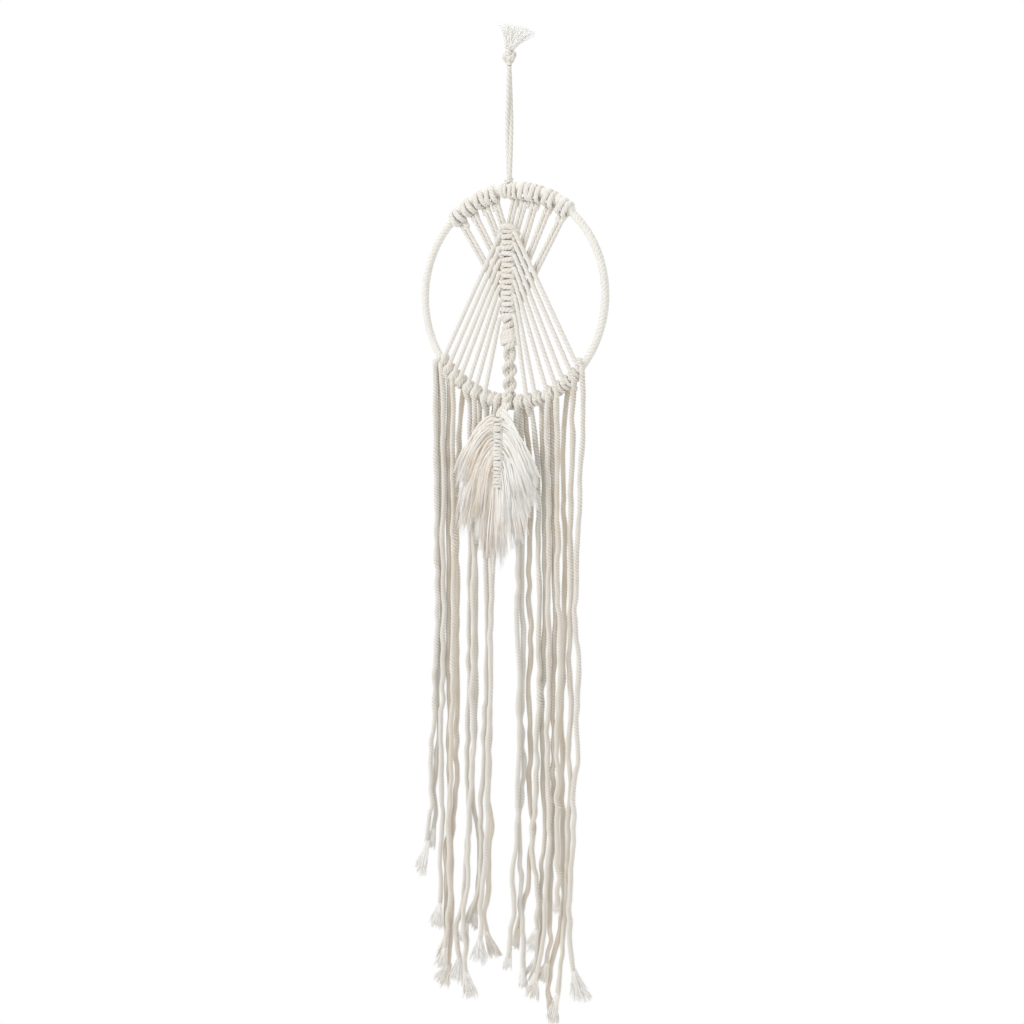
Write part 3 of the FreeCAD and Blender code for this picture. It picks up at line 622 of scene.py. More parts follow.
def finish_for(use):
    """The finish for one use of the cotton, made the first time it is asked for."""
    made = bpy.data.materials.get(use)
    if made:
        return made
    cords = bpy.context.scene.dream_cords
    feather = bpy.context.scene.dream_feather
    light, groove, warm_tone_and_shade = tuple(cords.light), tuple(cords.shade), tuple(cords.warm_tone_and_shade)
    combed = tuple(feather.light)
    # Each use: light colour, groove shade colour, warm colour, groove shade strength, warm amount,
    # relief, sheen, and glow, a painted emission that brightens the cotton.
    table = {
        "fringe_cotton": (light, groove, warm_tone_and_shade, 0.76, 0.36, 0.5, 0.25, 0.0),
        "frayed_cotton": (combed, light, warm_tone_and_shade, 0.2, 0.25, 0.3, 0.25, 0.07),
        "taut_cotton": (light, groove, warm_tone_and_shade, 0.78, 0.16, 0.45, 0.25, 0.0),
        "knotted_cotton": (light, groove, warm_tone_and_shade, 0.72, 0.24, 0.55, 0.3, 0.0),
        "wound_cotton": (light, groove, warm_tone_and_shade, 0.75, 0.08, 0.4, 0.35, 0.03),
        "combed_cotton": (combed, groove, warm_tone_and_shade, 0.5, 0.42, 0.3, 0.25, 0.08),
        "loose_cotton": (combed, combed, combed, 0.0, 0.0, 0.2, 0.1, 0.10),
    }
    return cotton_finish(use, *table[use])


def steel_finish():
    """Plain drawn wire, hidden under the winding."""
    finish, tree, shader = plain_finish("drawn_wire")
    place = tree.nodes.new("ShaderNodeTexCoord")
    streaks = noise_node(tree, place.outputs["Object"], 900.0, 2.0)
    colour = ramp_node(tree, streaks, (0.42, 0.42, 0.43), (0.68, 0.68, 0.69))
    join(tree, colour, shader.inputs["Base Color"])
    shader.inputs["Metallic"].default_value = 1.0
    shader.inputs["Roughness"].default_value = 0.38
    return finish


# ------------------------------------------------------------------ shapes of the pieces
def lark_knot(skein, rng, angle, half_width):
    """A lark's-head knot on the ring: its bar at the back, its two broad turns at the front."""
    side = half_width / 2
    half = [
        (1.6, -12.5, -1.8), (1.6, -8.0, -2.8), (0.9 * side, -3.4, -4.4), (0.9 * side, 2.5, -4.2),
        (side, 5.0, -1.4), (side, 5.0, 1.6), (side, 2.2, 4.1), (1.05 * side, -1.8, 4.8),
        (1.30 * side, -4.9, 4.2), (1.25 * side, -6.5, 1.4), (0.8 * side, -6.2, -2.6),
    ]
    route = half + [(0.0, -5.4, -4.6)] + [(-t, n, f) for t, n, f in reversed(half)]
    line = smooth_line(metres(by_ring(angle, route)), KNOT_STEP)
    rope(skein, line, 1.62 * side * MM, 0.0085, rng.uniform(0, 0.35), softness=0.18, calm=0.5,
         rng=rng, ends=(0.9, 0.9), flat=(from_ring(line), 0.72))


def ring_turns(skein, rng, angle, low, high, turns, width, radius=4.3, tint=0.3, calm=0.2):
    """Turns of cord side by side round the ring, each crossing to the next behind it."""
    count = int(turns * 16) + 1
    places = []
    for i in range(count):
        share = i / (count - 1)
        a = turns * share
        whole = min(int(a), turns - 1)
        part = a - whole
        crossing = max(0.0, (part - 0.72) / 0.28)
        aside = low + (high - low) * min((whole + crossing) / max(turns - 1, 1), 1.0)
        turn = math.radians(360 * part - 90)
        places.append((aside, 1.04 * radius * math.cos(turn), 1.04 * radius * math.sin(turn)))
    line = smooth_line(metres(by_ring(angle, places)), KNOT_STEP)
    rope(skein, line, width * MM, 0.0072, tint, softness=0.1, calm=calm, rng=rng, ends=(0.7, 0.7),
         flat=(from_ring(line), 0.8))


def held_angle(angle):
    """The outermost hanging cords slip a little down the ring before they fall."""
    slipped = min(abs(angle), SLIP_FROM + 0.4 * max(0.0, abs(angle) - SLIP_FROM))
    return math.copysign(slipped, angle)


def held_drop(angle):
    """How much lower than its knot such a cord leaves the ring, in millimetres."""
    return ring_frame(180 - angle)[0][2] - ring_frame(180 - held_angle(angle))[0][2]


def over_ring(skein, rng, layer, angle, tint):
    """The part of a hanging cord that comes over the ring before it falls."""
    x = ring_frame(180 - angle)[0][0]
    z = ring_frame(180 - held_angle(angle))[0][2]
    turns = {
        -1: [(0, -1.0, -4.5), (0, -4.4, -2.5), (0, -4.9, 1.2), (0, -2.0, 4.6)],
        0: [(0, -1.0, -4.5), (0, -4.4, -2.5), (0, -4.9, 1.2), (0, -1.5, 4.8), (0, 3.0, 4.6)],
        1: [(0, 1.5, 4.5), (0, -2.4, 4.4), (0, -4.9, 1.2), (0, -4.6, -2.0), (0, -1.5, -4.8)],
    }
    falls = {-1: [(-4.7, -1.5), (-4.4, -7.0)], 0: [(-3.2, -6.5), (-0.3, -9.5), (0, -12.0)],
             1: [(4.7, -2.0), (4.4, -7.0)]}
    route = by_ring(180 - held_angle(angle), turns[layer])
    route += [(x, y, z + down) for y, down in falls[layer]]
    rope(skein, smooth_line(metres(route), KNOT_STEP), 0.0044, 0.0068, tint, rng=rng, ends=(0.8, 0.8))


def room(angle, angles, longest):
    """Half the length that a knot may take along the ring."""
    near = min(abs(angle - other) for other in angles if other != angle)
    return min(longest, math.radians(near) * RING_R / 2 - 0.15)


def square_sennit(skein, rng, top, count, pitch, half_width, half_depth, width, centre, tint):
    """A flat sennit: one cord crosses in front and its partner behind, knot after knot."""
    stations = 24
    t = np.arange(count * stations + 1) / stations
    swing = 2 * np.pi * t
    down = t * pitch + 0.06 * pitch * np.sin(2 * swing)
    side = half_width - width / 2
    deep = half_depth - width * 0.42
    loose = 0.40 * wander(rng, t * 10, 4.0, 3)
    for sign in (-1, 1):
        x = sign * side * np.sign(np.cos(swing)) * np.abs(np.cos(swing))**0.7
        across = np.abs(np.sin(swing))**0.8
        edge = 1 - across
        y = -deep * across + 0.9 * edge if sign < 0 else deep * across - (deep * 0.85) * edge
        line = np.stack([centre[0] + x, centre[1] + y, top - down], axis=1) + loose
        line = even_line(line * MM, KNOT_STEP)
        front = np.broadcast_to(np.array([0.0, -1.0, 0.0]), line.shape)
        rope(skein, line, width * MM, 0.0085, tint, softness=0.14, calm=0.35, rng=rng,
             flat=(front, 0.92))


def twist_sennit(skein, rng, top, tint):
    """A half-knot sennit, pulled tight in some places and slack in others.

    Stations: drop, half width, half depth, turns made so far.
    """
    stations = np.array([
        (-1.5, 4.6, 3.0, 0.00), (4.0, 3.4, 2.8, 0.45), (8.0, 3.3, 2.8, 0.75),
        (12.0, 5.4, 3.0, 1.20), (15.0, 6.2, 3.0, 1.9), (18.0, 6.3, 3.0, 2.6),
        (21.0, 5.6, 3.0, 3.05), (24.5, 4.0, 2.8, 3.3), (28.5, 3.2, 2.6, 3.42),
        (32.5, 3.4, 2.6, 3.55), (37.0, 4.7, 3.0, 3.75), (42.0, 4.7, 3.0, 4.00),
        (47.0, 4.2, 2.8, 4.20), (52.0, 4.4, 2.8, 4.42), (57.5, 4.0, 2.8, 4.70),
        (62.0, 3.8, 2.8, 4.95),
    ])
    drops = np.linspace(stations[0, 0], stations[-1, 0], 700)
    wide, deep, turns = (np.interp(drops, stations[:, 0], stations[:, k]) for k in (1, 2, 3))
    smooth = np.ones(25) / 25
    wide, deep, turns = (
        np.convolve(np.pad(values, 12, mode="edge"), smooth, "valid") for values in (wide, deep, turns))
    for shift in (0.0, 0.5):
        swing = 2 * np.pi * (turns + shift)
        line = np.stack([wide * np.cos(swing), -deep * np.sin(swing), top - drops], axis=1)
        line += 0.25 * wander(rng, drops - drops[0], 5.0, 3)
        line = even_line(line * MM, KNOT_STEP)
        away = line * np.array([1.0, 1.0, 0.0])
        rope(skein, line, 0.0044, 0.0085, tint, softness=0.14, calm=0.3, rng=rng,
             flat=(away, 0.85))


def strand_route(layer, angle, points):
    """The points of a hanging cord's route, in metres, from its hitch down."""
    hitch = ring_frame(180 - angle)[0]
    y = layer * FRINGE_LAYER
    route = [(hitch[0], y, hitch[2])]
    route += [(hitch[0] + dx, y, FRINGE_BEND - drop) for dx, drop in points]
    return metres(route)


def frayed_end(rng, line, length, spread, lean):
    """The plies of a cord's end combed out by wear into a brush of fibres."""
    root = line[max(0, len(line) - 1 - int(length * MM / HANGING_STEP))]
    way = unit(line[-1] - root)
    count, tufts = 200, 8
    side = unit(np.cross(way, np.array([0.0, 1.0, 0.0])))
    deep = np.cross(side, way)
    angle = rng.uniform(0, 2 * np.pi, count)
    reach = np.sqrt(rng.uniform(0, 1, count))
    off_side, off_deep = reach * np.cos(angle), reach * np.sin(angle)
    roots = root + 0.0019 * (off_side[:, None] * side + off_deep[:, None] * deep) - way * 0.004
    tuft = np.clip(((off_side + 1) / 2 * tufts).astype(int), 0, tufts - 1)
    tuft_aside = np.linspace(-1, 1, tufts) + rng.uniform(-0.25, 0.25, tufts)
    tuft_fall = rng.uniform(0.78, 1.08, tufts)
    fall = (length + 2.0) * MM * tuft_fall[tuft] * (1 - 0.25 * rng.uniform(0, 1, count)**2)
    tips = root + way * fall[:, None]
    tips += side * (1.25 * spread * (0.30 * off_side + 0.80 * tuft_aside[tuft]))[:, None] * MM
    tips += deep * (0.6 * spread * off_deep)[:, None] * MM
    tips[:, 0] += lean * MM * rng.uniform(0.5, 1.1, count)
    bends = (roots + tips) / 2 - (tips - roots - way * fall[:, None]) * 0.18
    return bent_fibres(rng, roots, bends, tips, 10, 0.0010, 0.0085)


# ------------------------------------------------------------------ operators
class DREAM_OT_camera(bpy.types.Operator):
    """Puts the camera a metre away, a little above the middle and to the right"""
    bl_idname = "dream.camera"
    bl_label = "Camera"

    def execute(self, context):
        data = bpy.data.cameras.new("camera")
        data.lens = 45.0
        data.sensor_width = 36.0
        camera = bpy.data.objects.new("camera", data)
        context.scene.collection.objects.link(camera)
        azimuth, elevation, distance = math.radians(31), math.radians(8), 1.0
        back = Vector((
            math.sin(azimuth) * math.cos(elevation),
            -math.cos(azimuth) * math.cos(elevation),
            math.sin(elevation)))
        camera.location = Vector((0.00235, 0, -0.3373)) + back * distance
        camera.rotation_mode = "QUATERNION"
        camera.rotation_quaternion = (-back).to_track_quat("-Z", "Y")
        context.scene.camera = camera
        return {"FINISHED"}


class DREAM_OT_fringe(bpy.types.Operator):
    """Hangs the cords of the fringe, with their frayed ends"""
    bl_idname = "dream.fringe"
    bl_label = "Fringe"

    def execute(self, context):
        rng = np.random.default_rng(11)
        for side, strands, ends in (
                ("left", FRINGE_LEFT, ENDS_LEFT), ("right", FRINGE_RIGHT, ENDS_RIGHT)):
            for number, (given, worn) in enumerate(zip(strands, ends), 1):
                self.hang(context.scene.dream_cords, rng, side, number, given, worn)
        return {"FINISHED"}

    def hang(self, cords, rng, side, number, given, worn):
        """One cord of the fringe, kinked from use, with the brush of fibres at its end."""
        layer, angle, points = given
        fray, spread, lean = worn
        node = f"fringe_{side}_{number:02d}"
        body = f"{side}_fringe"
        line = smooth_line(strand_route(layer, angle, points), HANGING_STEP)
        # Back layers take more of the warm colour, painted shade behind the front cords; the random
        # part is the cord's own tone.
        tint = 0.25 * (layer + 1) + rng.uniform(-0.35, 0.55)
        plain = line[:-int((fray - 4) * MM / HANGING_STEP)]
        gone = np.linspace(0, 1, len(plain))
        along = np.arange(len(plain)) * HANGING_STEP
        kinks = (0.0005 + 0.0006 * gone[:, None]) * wander(rng, along, 0.011, 3)
        kinks += 0.0008 * gone[:, None] * wander(rng, along, 0.024, 3)
        kinks *= np.clip(gone * 12, 0, 1)[:, None]
        skein = Skein()
        lay = cords.lay_length * rng.uniform(0.92, 1.12)
        hidden = round(max(0.0, held_drop(angle)) * MM / HANGING_STEP)
        rope(skein, (plain + kinks)[hidden:], cords.fringe_width * 1.13, lay, tint, softness=0.02,
             start=rng.uniform(0, 6), ends=(0.9, 0.8), calm=-0.15, rng=rng, uneven=0.13)
        strand = skein.build(f"{node}_cord", finish_for("fringe_cotton"))
        brush = Skein()
        lines = frayed_end(rng, line, fray, spread, lean)
        fibres(brush, lines, FRAY_WIDTH, tint + rng.uniform(-0.2, 0.2, len(lines)))
        end = brush.build(f"{node}_end", finish_for("frayed_cotton"))
        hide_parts(node)
        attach(end, body)
        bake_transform(strand)


class DREAM_OT_hanger(bpy.types.Operator):
    """Ties the top knot, its brushed ends, the loop's two legs and the turns round the hoop"""
    bl_idname = "dream.hanger"
    bl_label = "Hanger"

    def execute(self, context):
        rng = np.random.default_rng(5)
        spread = [1.9, 2.0, 2.35, 2.2, 1.85]
        turns = [121, 80, 31, -12, -45]
        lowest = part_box("hanging_leg_left")[0].z
        heights = [-2.0 + (lowest / MM + 2.0) * i / 4 for i in range(5)]
        for name, side in (("left", 1), ("right", -1)):
            route = []
            for z, out, turn in zip(heights, spread, turns):
                a = math.radians(turn)
                route.append((-side * out * math.cos(a), -side * out * math.sin(a), z))
            line = smooth_line(metres(route), HANGING_STEP)
            skein = Skein()
            closer = line * np.array([0.66, 0.72, 1.0])
            rope(skein, closer, 0.0035, 0.0120, 0.05, softness=0.2, start=side, ends=(0.9, 0.9),
                 calm=0.35)
            leg = skein.build(f"loop_leg_{name}", finish_for("taut_cotton"))
            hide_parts(f"hanging_leg_{name}")
            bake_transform(leg)
        self.top_knot(rng)
        self.turns_on_hoop()
        return {"FINISHED"}

    def top_knot(self, rng):
        """An overhand knot of both cords and the brushed-out ends above it."""
        t = np.linspace(0, 2 * np.pi, 260)
        wide = 1.25 * (2 + np.cos(3 * t))
        x = 1.05 * wide * np.cos(2 * t)
        z = 5.3 + 0.95 * wide * np.sin(2 * t)
        y = 1.9 * np.sin(3 * t)
        skein = Skein()
        line = even_line(np.stack([x + 0.15 * y, y - 0.1 * x, z], axis=1) * MM, KNOT_STEP)
        rope(skein, line, 0.0043, 0.0095, 0.05, softness=0.16, calm=0.4, rng=rng)
        for sign in (-1, 1):
            neck = [(sign * 0.9, sign * -0.8, -1.5), (sign * 0.9, sign * -0.8, 0.5),
                    (-sign * 0.8, sign * 1.5, 3.0), (-sign * 0.4, -sign * 0.6, 7.0),
                    (-sign * 0.6, 0.0, 11.5)]
            rope(skein, smooth_line(metres(neck), KNOT_STEP), 0.0034, 0.0095, 0.05, softness=0.16,
                 calm=0.4)
        knot = skein.build("top_knot_cord", finish_for("knotted_cotton"))
        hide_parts("hanging_knot")
        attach(knot, "top_knot")
        count = 520
        share = rng.uniform(0, 1, count)
        bearing = np.radians(-24 + 92 * share + rng.normal(0, 2, count))
        reach = (21.5 - 5.5 * np.sin(np.pi * share) + 3.0 * share) * rng.uniform(0.80, 1.0, count)
        across, deep = np.sin(bearing) * reach, rng.normal(0, 2.4, count)
        rise = np.cos(bearing) * reach
        roots = [rng.normal(0.2, 1.0, count), rng.normal(0, 0.9, count), np.full(count, 9.0)]
        roots = np.stack(roots, axis=1)
        tips = np.stack([across, deep, 10.5 + rise], axis=1)
        bends = roots + np.stack([0.30 * across, 0.3 * deep, 0.45 * rise + 1.5], axis=1)
        lines = bent_fibres(rng, roots * MM, bends * MM, tips * MM, 10, 0.0006, 0.009)
        brush = Skein()
        fibres(brush, lines, BRUSH_WIDTH, rng.uniform(0, 0.15, count), tip=0.5)
        ends = brush.build("brushed_ends", finish_for("loose_cotton"))
        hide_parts("hanging_tuft")
        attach(ends, "top_knot")

    def turns_on_hoop(self):
        """The two legs' round turn on the hoop and the half hitch that closes it."""
        skein = Skein()
        rng = np.random.default_rng(6)
        ring_turns(skein, rng, HITCH_ANGLE, -1.6, 1.3, 2, 3.0, 4.5, tint=0.1, calm=0.4)
        clasp = []
        for i in range(11):
            a = 2 * math.pi * i / 9
            clasp.append((-0.4 + 2.5 * math.cos(a), 2.5 * math.sin(a), -83.6 - 0.25 * i))
        rope(skein, smooth_line(metres(clasp), KNOT_STEP), 0.0026, 0.0095, 0.2, softness=0.12,
             ends=(0.6, 0.6))
        for down in (
                [(1.3, -1.4, -82.0), (-0.6, -2.0, -85.5), (-2.4, -1.6, -88.5)],
                [(-1.3, 1.4, -82.0), (-1.2, 1.0, -85.5), (-1.6, 0.2, -88.5)]):
            rope(skein, smooth_line(metres(down), KNOT_STEP), 0.0030, 0.0095, 0.1, softness=0.12)
        turns = skein.build("hanger_turns", finish_for("knotted_cotton"))
        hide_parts("hanger_hitch")
        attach(turns, "hanger")


class DREAM_OT_hoop(bpy.types.Operator):
    """Winds the hoop with cord and ties the knots along its top"""
    bl_idname = "dream.hoop"
    bl_label = "Hoop"

    def execute(self, context):
        lead = context.scene.dream_cords.wound_lead
        stations, sides, strands = 1500, 30, 4
        around = 2 * np.pi * np.arange(sides) / sides
        along = 2 * np.pi * np.arange(stations + 1) / stations
        gone = along * RING_R * MM
        phase = strands * (gone[:, None] / lead + around[None, :] / (2 * np.pi))
        within = np.mod(phase, 1.0) - 0.5
        ridge = np.sqrt(np.clip(1 - (1.85 * within)**2, 0, 1))
        rough = 0.10 * wander(np.random.default_rng(3), gone, 0.004, 2)[:, :1]
        radius = 2.42 + 0.58 * ridge + rough
        out = RING_R + radius * np.cos(around)[None, :]
        x = RING_X + out * np.sin(along)[:, None]
        z = RING_Z + out * np.cos(along)[:, None]
        y = np.broadcast_to(radius * np.sin(around)[None, :], x.shape)
        rings = np.stack([x, y, z], axis=-1) * MM
        skein = Skein()
        half = stations // 2
        for low, high in ((0, half), (half, stations)):
            part = rings[low:high + 1]
            # The ridge shapes the turns and also paints shade in the grooves between them.
            skein.tubes(part[None], gone[None, low:high + 1], ridge[None, low:high + 1], 0.35)
        self.top_band(skein)
        winding = skein.build("hoop_winding", finish_for("wound_cotton"))
        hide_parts("hoop_wrap")
        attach(winding, "hoop")
        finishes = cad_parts["hoop_ring"].data.materials
        finishes.clear()
        finishes.append(steel_finish())
        self.upper_knots()
        return {"FINISHED"}

    def top_band(self, skein):
        """A second, looser layer of winding over the top, in broad soft turns."""
        rng = np.random.default_rng(7)
        stations, sides, reach = 420, 26, 41.5
        degrees = np.linspace(-reach, reach, stations)
        along = np.radians(degrees)
        gone = along * RING_R * MM
        around = 2 * np.pi * np.arange(sides) / sides
        loose = wander(rng, gone - gone[0], 0.007, 3)
        within = np.mod(gone[:, None] / 0.0043 + around / (2 * np.pi), 1.0) - 0.5
        ridge = np.sqrt(np.clip(1 - (1.8 * within)**2, 0, 1))
        fade = np.sqrt(np.clip((reach - np.abs(degrees)) / 5.0, 0, 1))[:, None]
        radius = (2.3 + fade * (0.95 + 0.2 * loose[:, :1])) + 0.45 * ridge * fade
        lift = 1.75 * fade + 0.25 * fade * loose[:, 1:2]
        out = RING_R + lift + radius * np.cos(around)
        x = RING_X + out * np.sin(along)[:, None]
        z = RING_Z + out * np.cos(along)[:, None]
        rings = np.stack([x, radius * np.sin(around), z], axis=-1) * MM
        # Here too the ridge shapes the turns and paints shade in the grooves between them.
        skein.tubes(rings[None], gone[None], ridge[None], 0.1)

    def upper_knots(self):
        """The lark's-head knots that hold the upper cords."""
        angles = [pair[0] for side in UPPER_PAIRS.values() for pair in side]
        angles.append(CENTRE_KNOT)
        skein = Skein()
        rng = np.random.default_rng(2)
        for angle in angles:
            lark_knot(skein, rng, angle, room(angle, angles + [HITCH_ANGLE], 4.9))
        knots = skein.build("upper_knots", finish_for("knotted_cotton"))
        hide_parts("larks_head_knots")
        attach(knots, "hoop")


class DREAM_OT_upper_cords(bpy.types.Operator):
    """Stretches the pairs of cords from the upper knots to the spine"""
    bl_idname = "dream.upper_cords"
    bl_label = "Upper Cords"

    def execute(self, context):
        width = context.scene.dream_cords.taut_width
        for side, pairs in UPPER_PAIRS.items():
            skein = Skein()
            for angle, drop, across in pairs:
                top = ring_frame(angle)[0]
                top[1] = 1.8
                foot = np.array([across * 0.72, 1.4, SPINE_TOP - drop - 3.0])
                way = unit(foot - top)
                aside = np.array([-way[2], 0, way[0]]) * 1.62
                for sign in (-1, 1):
                    ends = [top + way * 8.0 + sign * aside, foot + sign * aside * 0.9]
                    line = even_line(np.array(ends) * MM, TAUT_STEP)
                    rope(skein, line, width, 0.012, 0.35, softness=0.22, start=angle, calm=0.45)
            cords = skein.build(f"upper_cords_{side}", finish_for("taut_cotton"))
            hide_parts(f"warp_pairs_{side}")
            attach(cords, "hoop")
        skein = Skein()
        top = ring_frame(CENTRE_KNOT)[0]
        for sign in (-1, 1):
            ends = [(top[0] + sign * 1.6, 1.2, top[2] - 7.0), (sign * 1.6, 0.0, SPINE_TOP + 0.5)]
            line = even_line(np.array(ends) * MM, TAUT_STEP)
            rope(skein, line, width, 0.012, 0.35, softness=0.22, calm=0.45)
        cords = skein.build("upper_cord_centre", finish_for("taut_cotton"))
        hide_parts("warp_pair_centre")
        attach(cords, "hoop")
        return {"FINISHED"}


class DREAM_OT_spine(bpy.types.Operator):
    """Knots the spine: a flat sennit above and a turning one below"""
    bl_idname = "dream.spine"
    bl_label = "Spine"

    def execute(self, context):
        skein = Skein()
        for sign in (-1, 1):
            ends = [(sign * 1.6, 0, SPINE_TOP), (sign * 1.6, 0, TWIST_END - 1.0)]
            rope(skein, even_line(np.array(ends) * MM, TAUT_STEP), 0.0032, 0.0105, 0.3)
        core = skein.build("spine_core_cords", finish_for("taut_cotton"))
        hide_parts("spine_core")
        skein = Skein()
        rng = np.random.default_rng(4)
        square_sennit(skein, rng, SPINE_TOP - 1.8, 8, SQUARE_PITCH, 7.3, 5.1, 4.0, (0, 0), 0.25)
        bar = [(-7.2, 1.5, -125.0), (-7.4, -2.0, -121.5), (-4.0, -4.6, -119.2), (0, -5.0, -118.6),
               (4.0, -4.6, -119.2), (7.4, -2.0, -121.5), (7.2, 1.5, -125.0)]
        rope(skein, smooth_line(metres(bar), KNOT_STEP), 0.0046, 0.0095, 0.15, softness=0.16, calm=0.4)
        squares = skein.build("spine_flat_sennit", finish_for("knotted_cotton"))
        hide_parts("spine_square_knots")
        skein = Skein()
        twist_sennit(skein, rng, SQUARE_END, 0.3)
        twists = skein.build("spine_turning_sennit", finish_for("knotted_cotton"))
        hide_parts("spine_twist_knots")
        for piece in (core, squares, twists):
            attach(piece, "hoop")
        return {"FINISHED"}


class DREAM_OT_fans(bpy.types.Operator):
    """Stretches the seven cords of each fan from the spine to the lower hoop"""
    bl_idname = "dream.fans"
    bl_label = "Fans"

    def execute(self, context):
        width = context.scene.dream_cords.taut_width
        for side, sign in (("left", -1), ("right", 1)):
            for number, (angle, drop) in enumerate(FAN_CORDS[side], 1):
                foot, outward = ring_frame(180 - sign * angle)[:2]
                root = (sign * 4.5, -1.5, SPINE_TOP - drop + 3.6)
                bend = (sign * 7.0, -3.2, SPINE_TOP - drop + 2.6)
                foot = foot + np.array([0, -4.4, 0]) - outward * 2.0
                skein = Skein()
                line = even_line(np.array([root, bend, foot]) * MM, TAUT_STEP)
                rope(skein, line, 1.14 * width, 0.011, 0.1, softness=0.2, start=number, calm=0.52)
                cord = skein.build(f"fan_cord_{side}_{number}", finish_for("taut_cotton"))
                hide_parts(f"fan_strand_{side}_{number}")
                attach(cord, "hoop")
        return {"FINISHED"}


class DREAM_OT_hem(bpy.types.Operator):
    """Hitches the fans and the fringe to the lower hoop"""
    bl_idname = "dream.hem"
    bl_label = "Lower Hitches"

    def execute(self, context):
        rng = np.random.default_rng(8)
        groups = (
            ("left", FRINGE_LEFT, [-a for a, _ in FAN_CORDS["left"]]),
            ("right", FRINGE_RIGHT, [a for a, _ in FAN_CORDS["right"][1:]]),
        )
        for side, strands, fans in groups:
            angles = sorted({angle for _, angle, _ in strands} | set(fans))
            layers = {angle: layer for layer, angle, _ in strands}
            skein = Skein()
            for angle in angles:
                half = room(angle, angles, 3.9)
                width = min(3.4, half + 0.6)
                tint = 0.3 + rng.uniform(-0.25, 0.3)
                if abs(angle) < TURNED_TO:
                    ring_turns(skein, rng, 180 - angle, -0.45 * half, 0.55 * half, 2, width, 4.1, tint)
                if angle in layers:
                    over_ring(skein, rng, layers[angle], angle, tint)
            hem = skein.build(f"lower_hitches_{side}", finish_for("knotted_cotton"))
            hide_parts(f"hem_hitches_{side}")
            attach(hem, "hoop")
        skein = Skein()
        ring_turns(skein, rng, 181.0, -2.2, 2.2, 3, 3.2, 4.4, tint=0.3)
        for sign in (-1, 1):
            tie = [(sign * 3.2, -3.0, -245.5), (sign * 1.6, -5.6, -248.5),
                   (-sign * 1.2, -6.6, -252.0), (-sign * 2.4, -4.4, -256.0)]
            rope(skein, smooth_line(metres(tie), KNOT_STEP), 0.0040, 0.0075, 0.3, calm=0.2)
        centre = skein.build("lower_hitch_centre", finish_for("knotted_cotton"))
        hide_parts("hem_hitch_centre")
        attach(centre, "hoop")
        return {"FINISHED"}


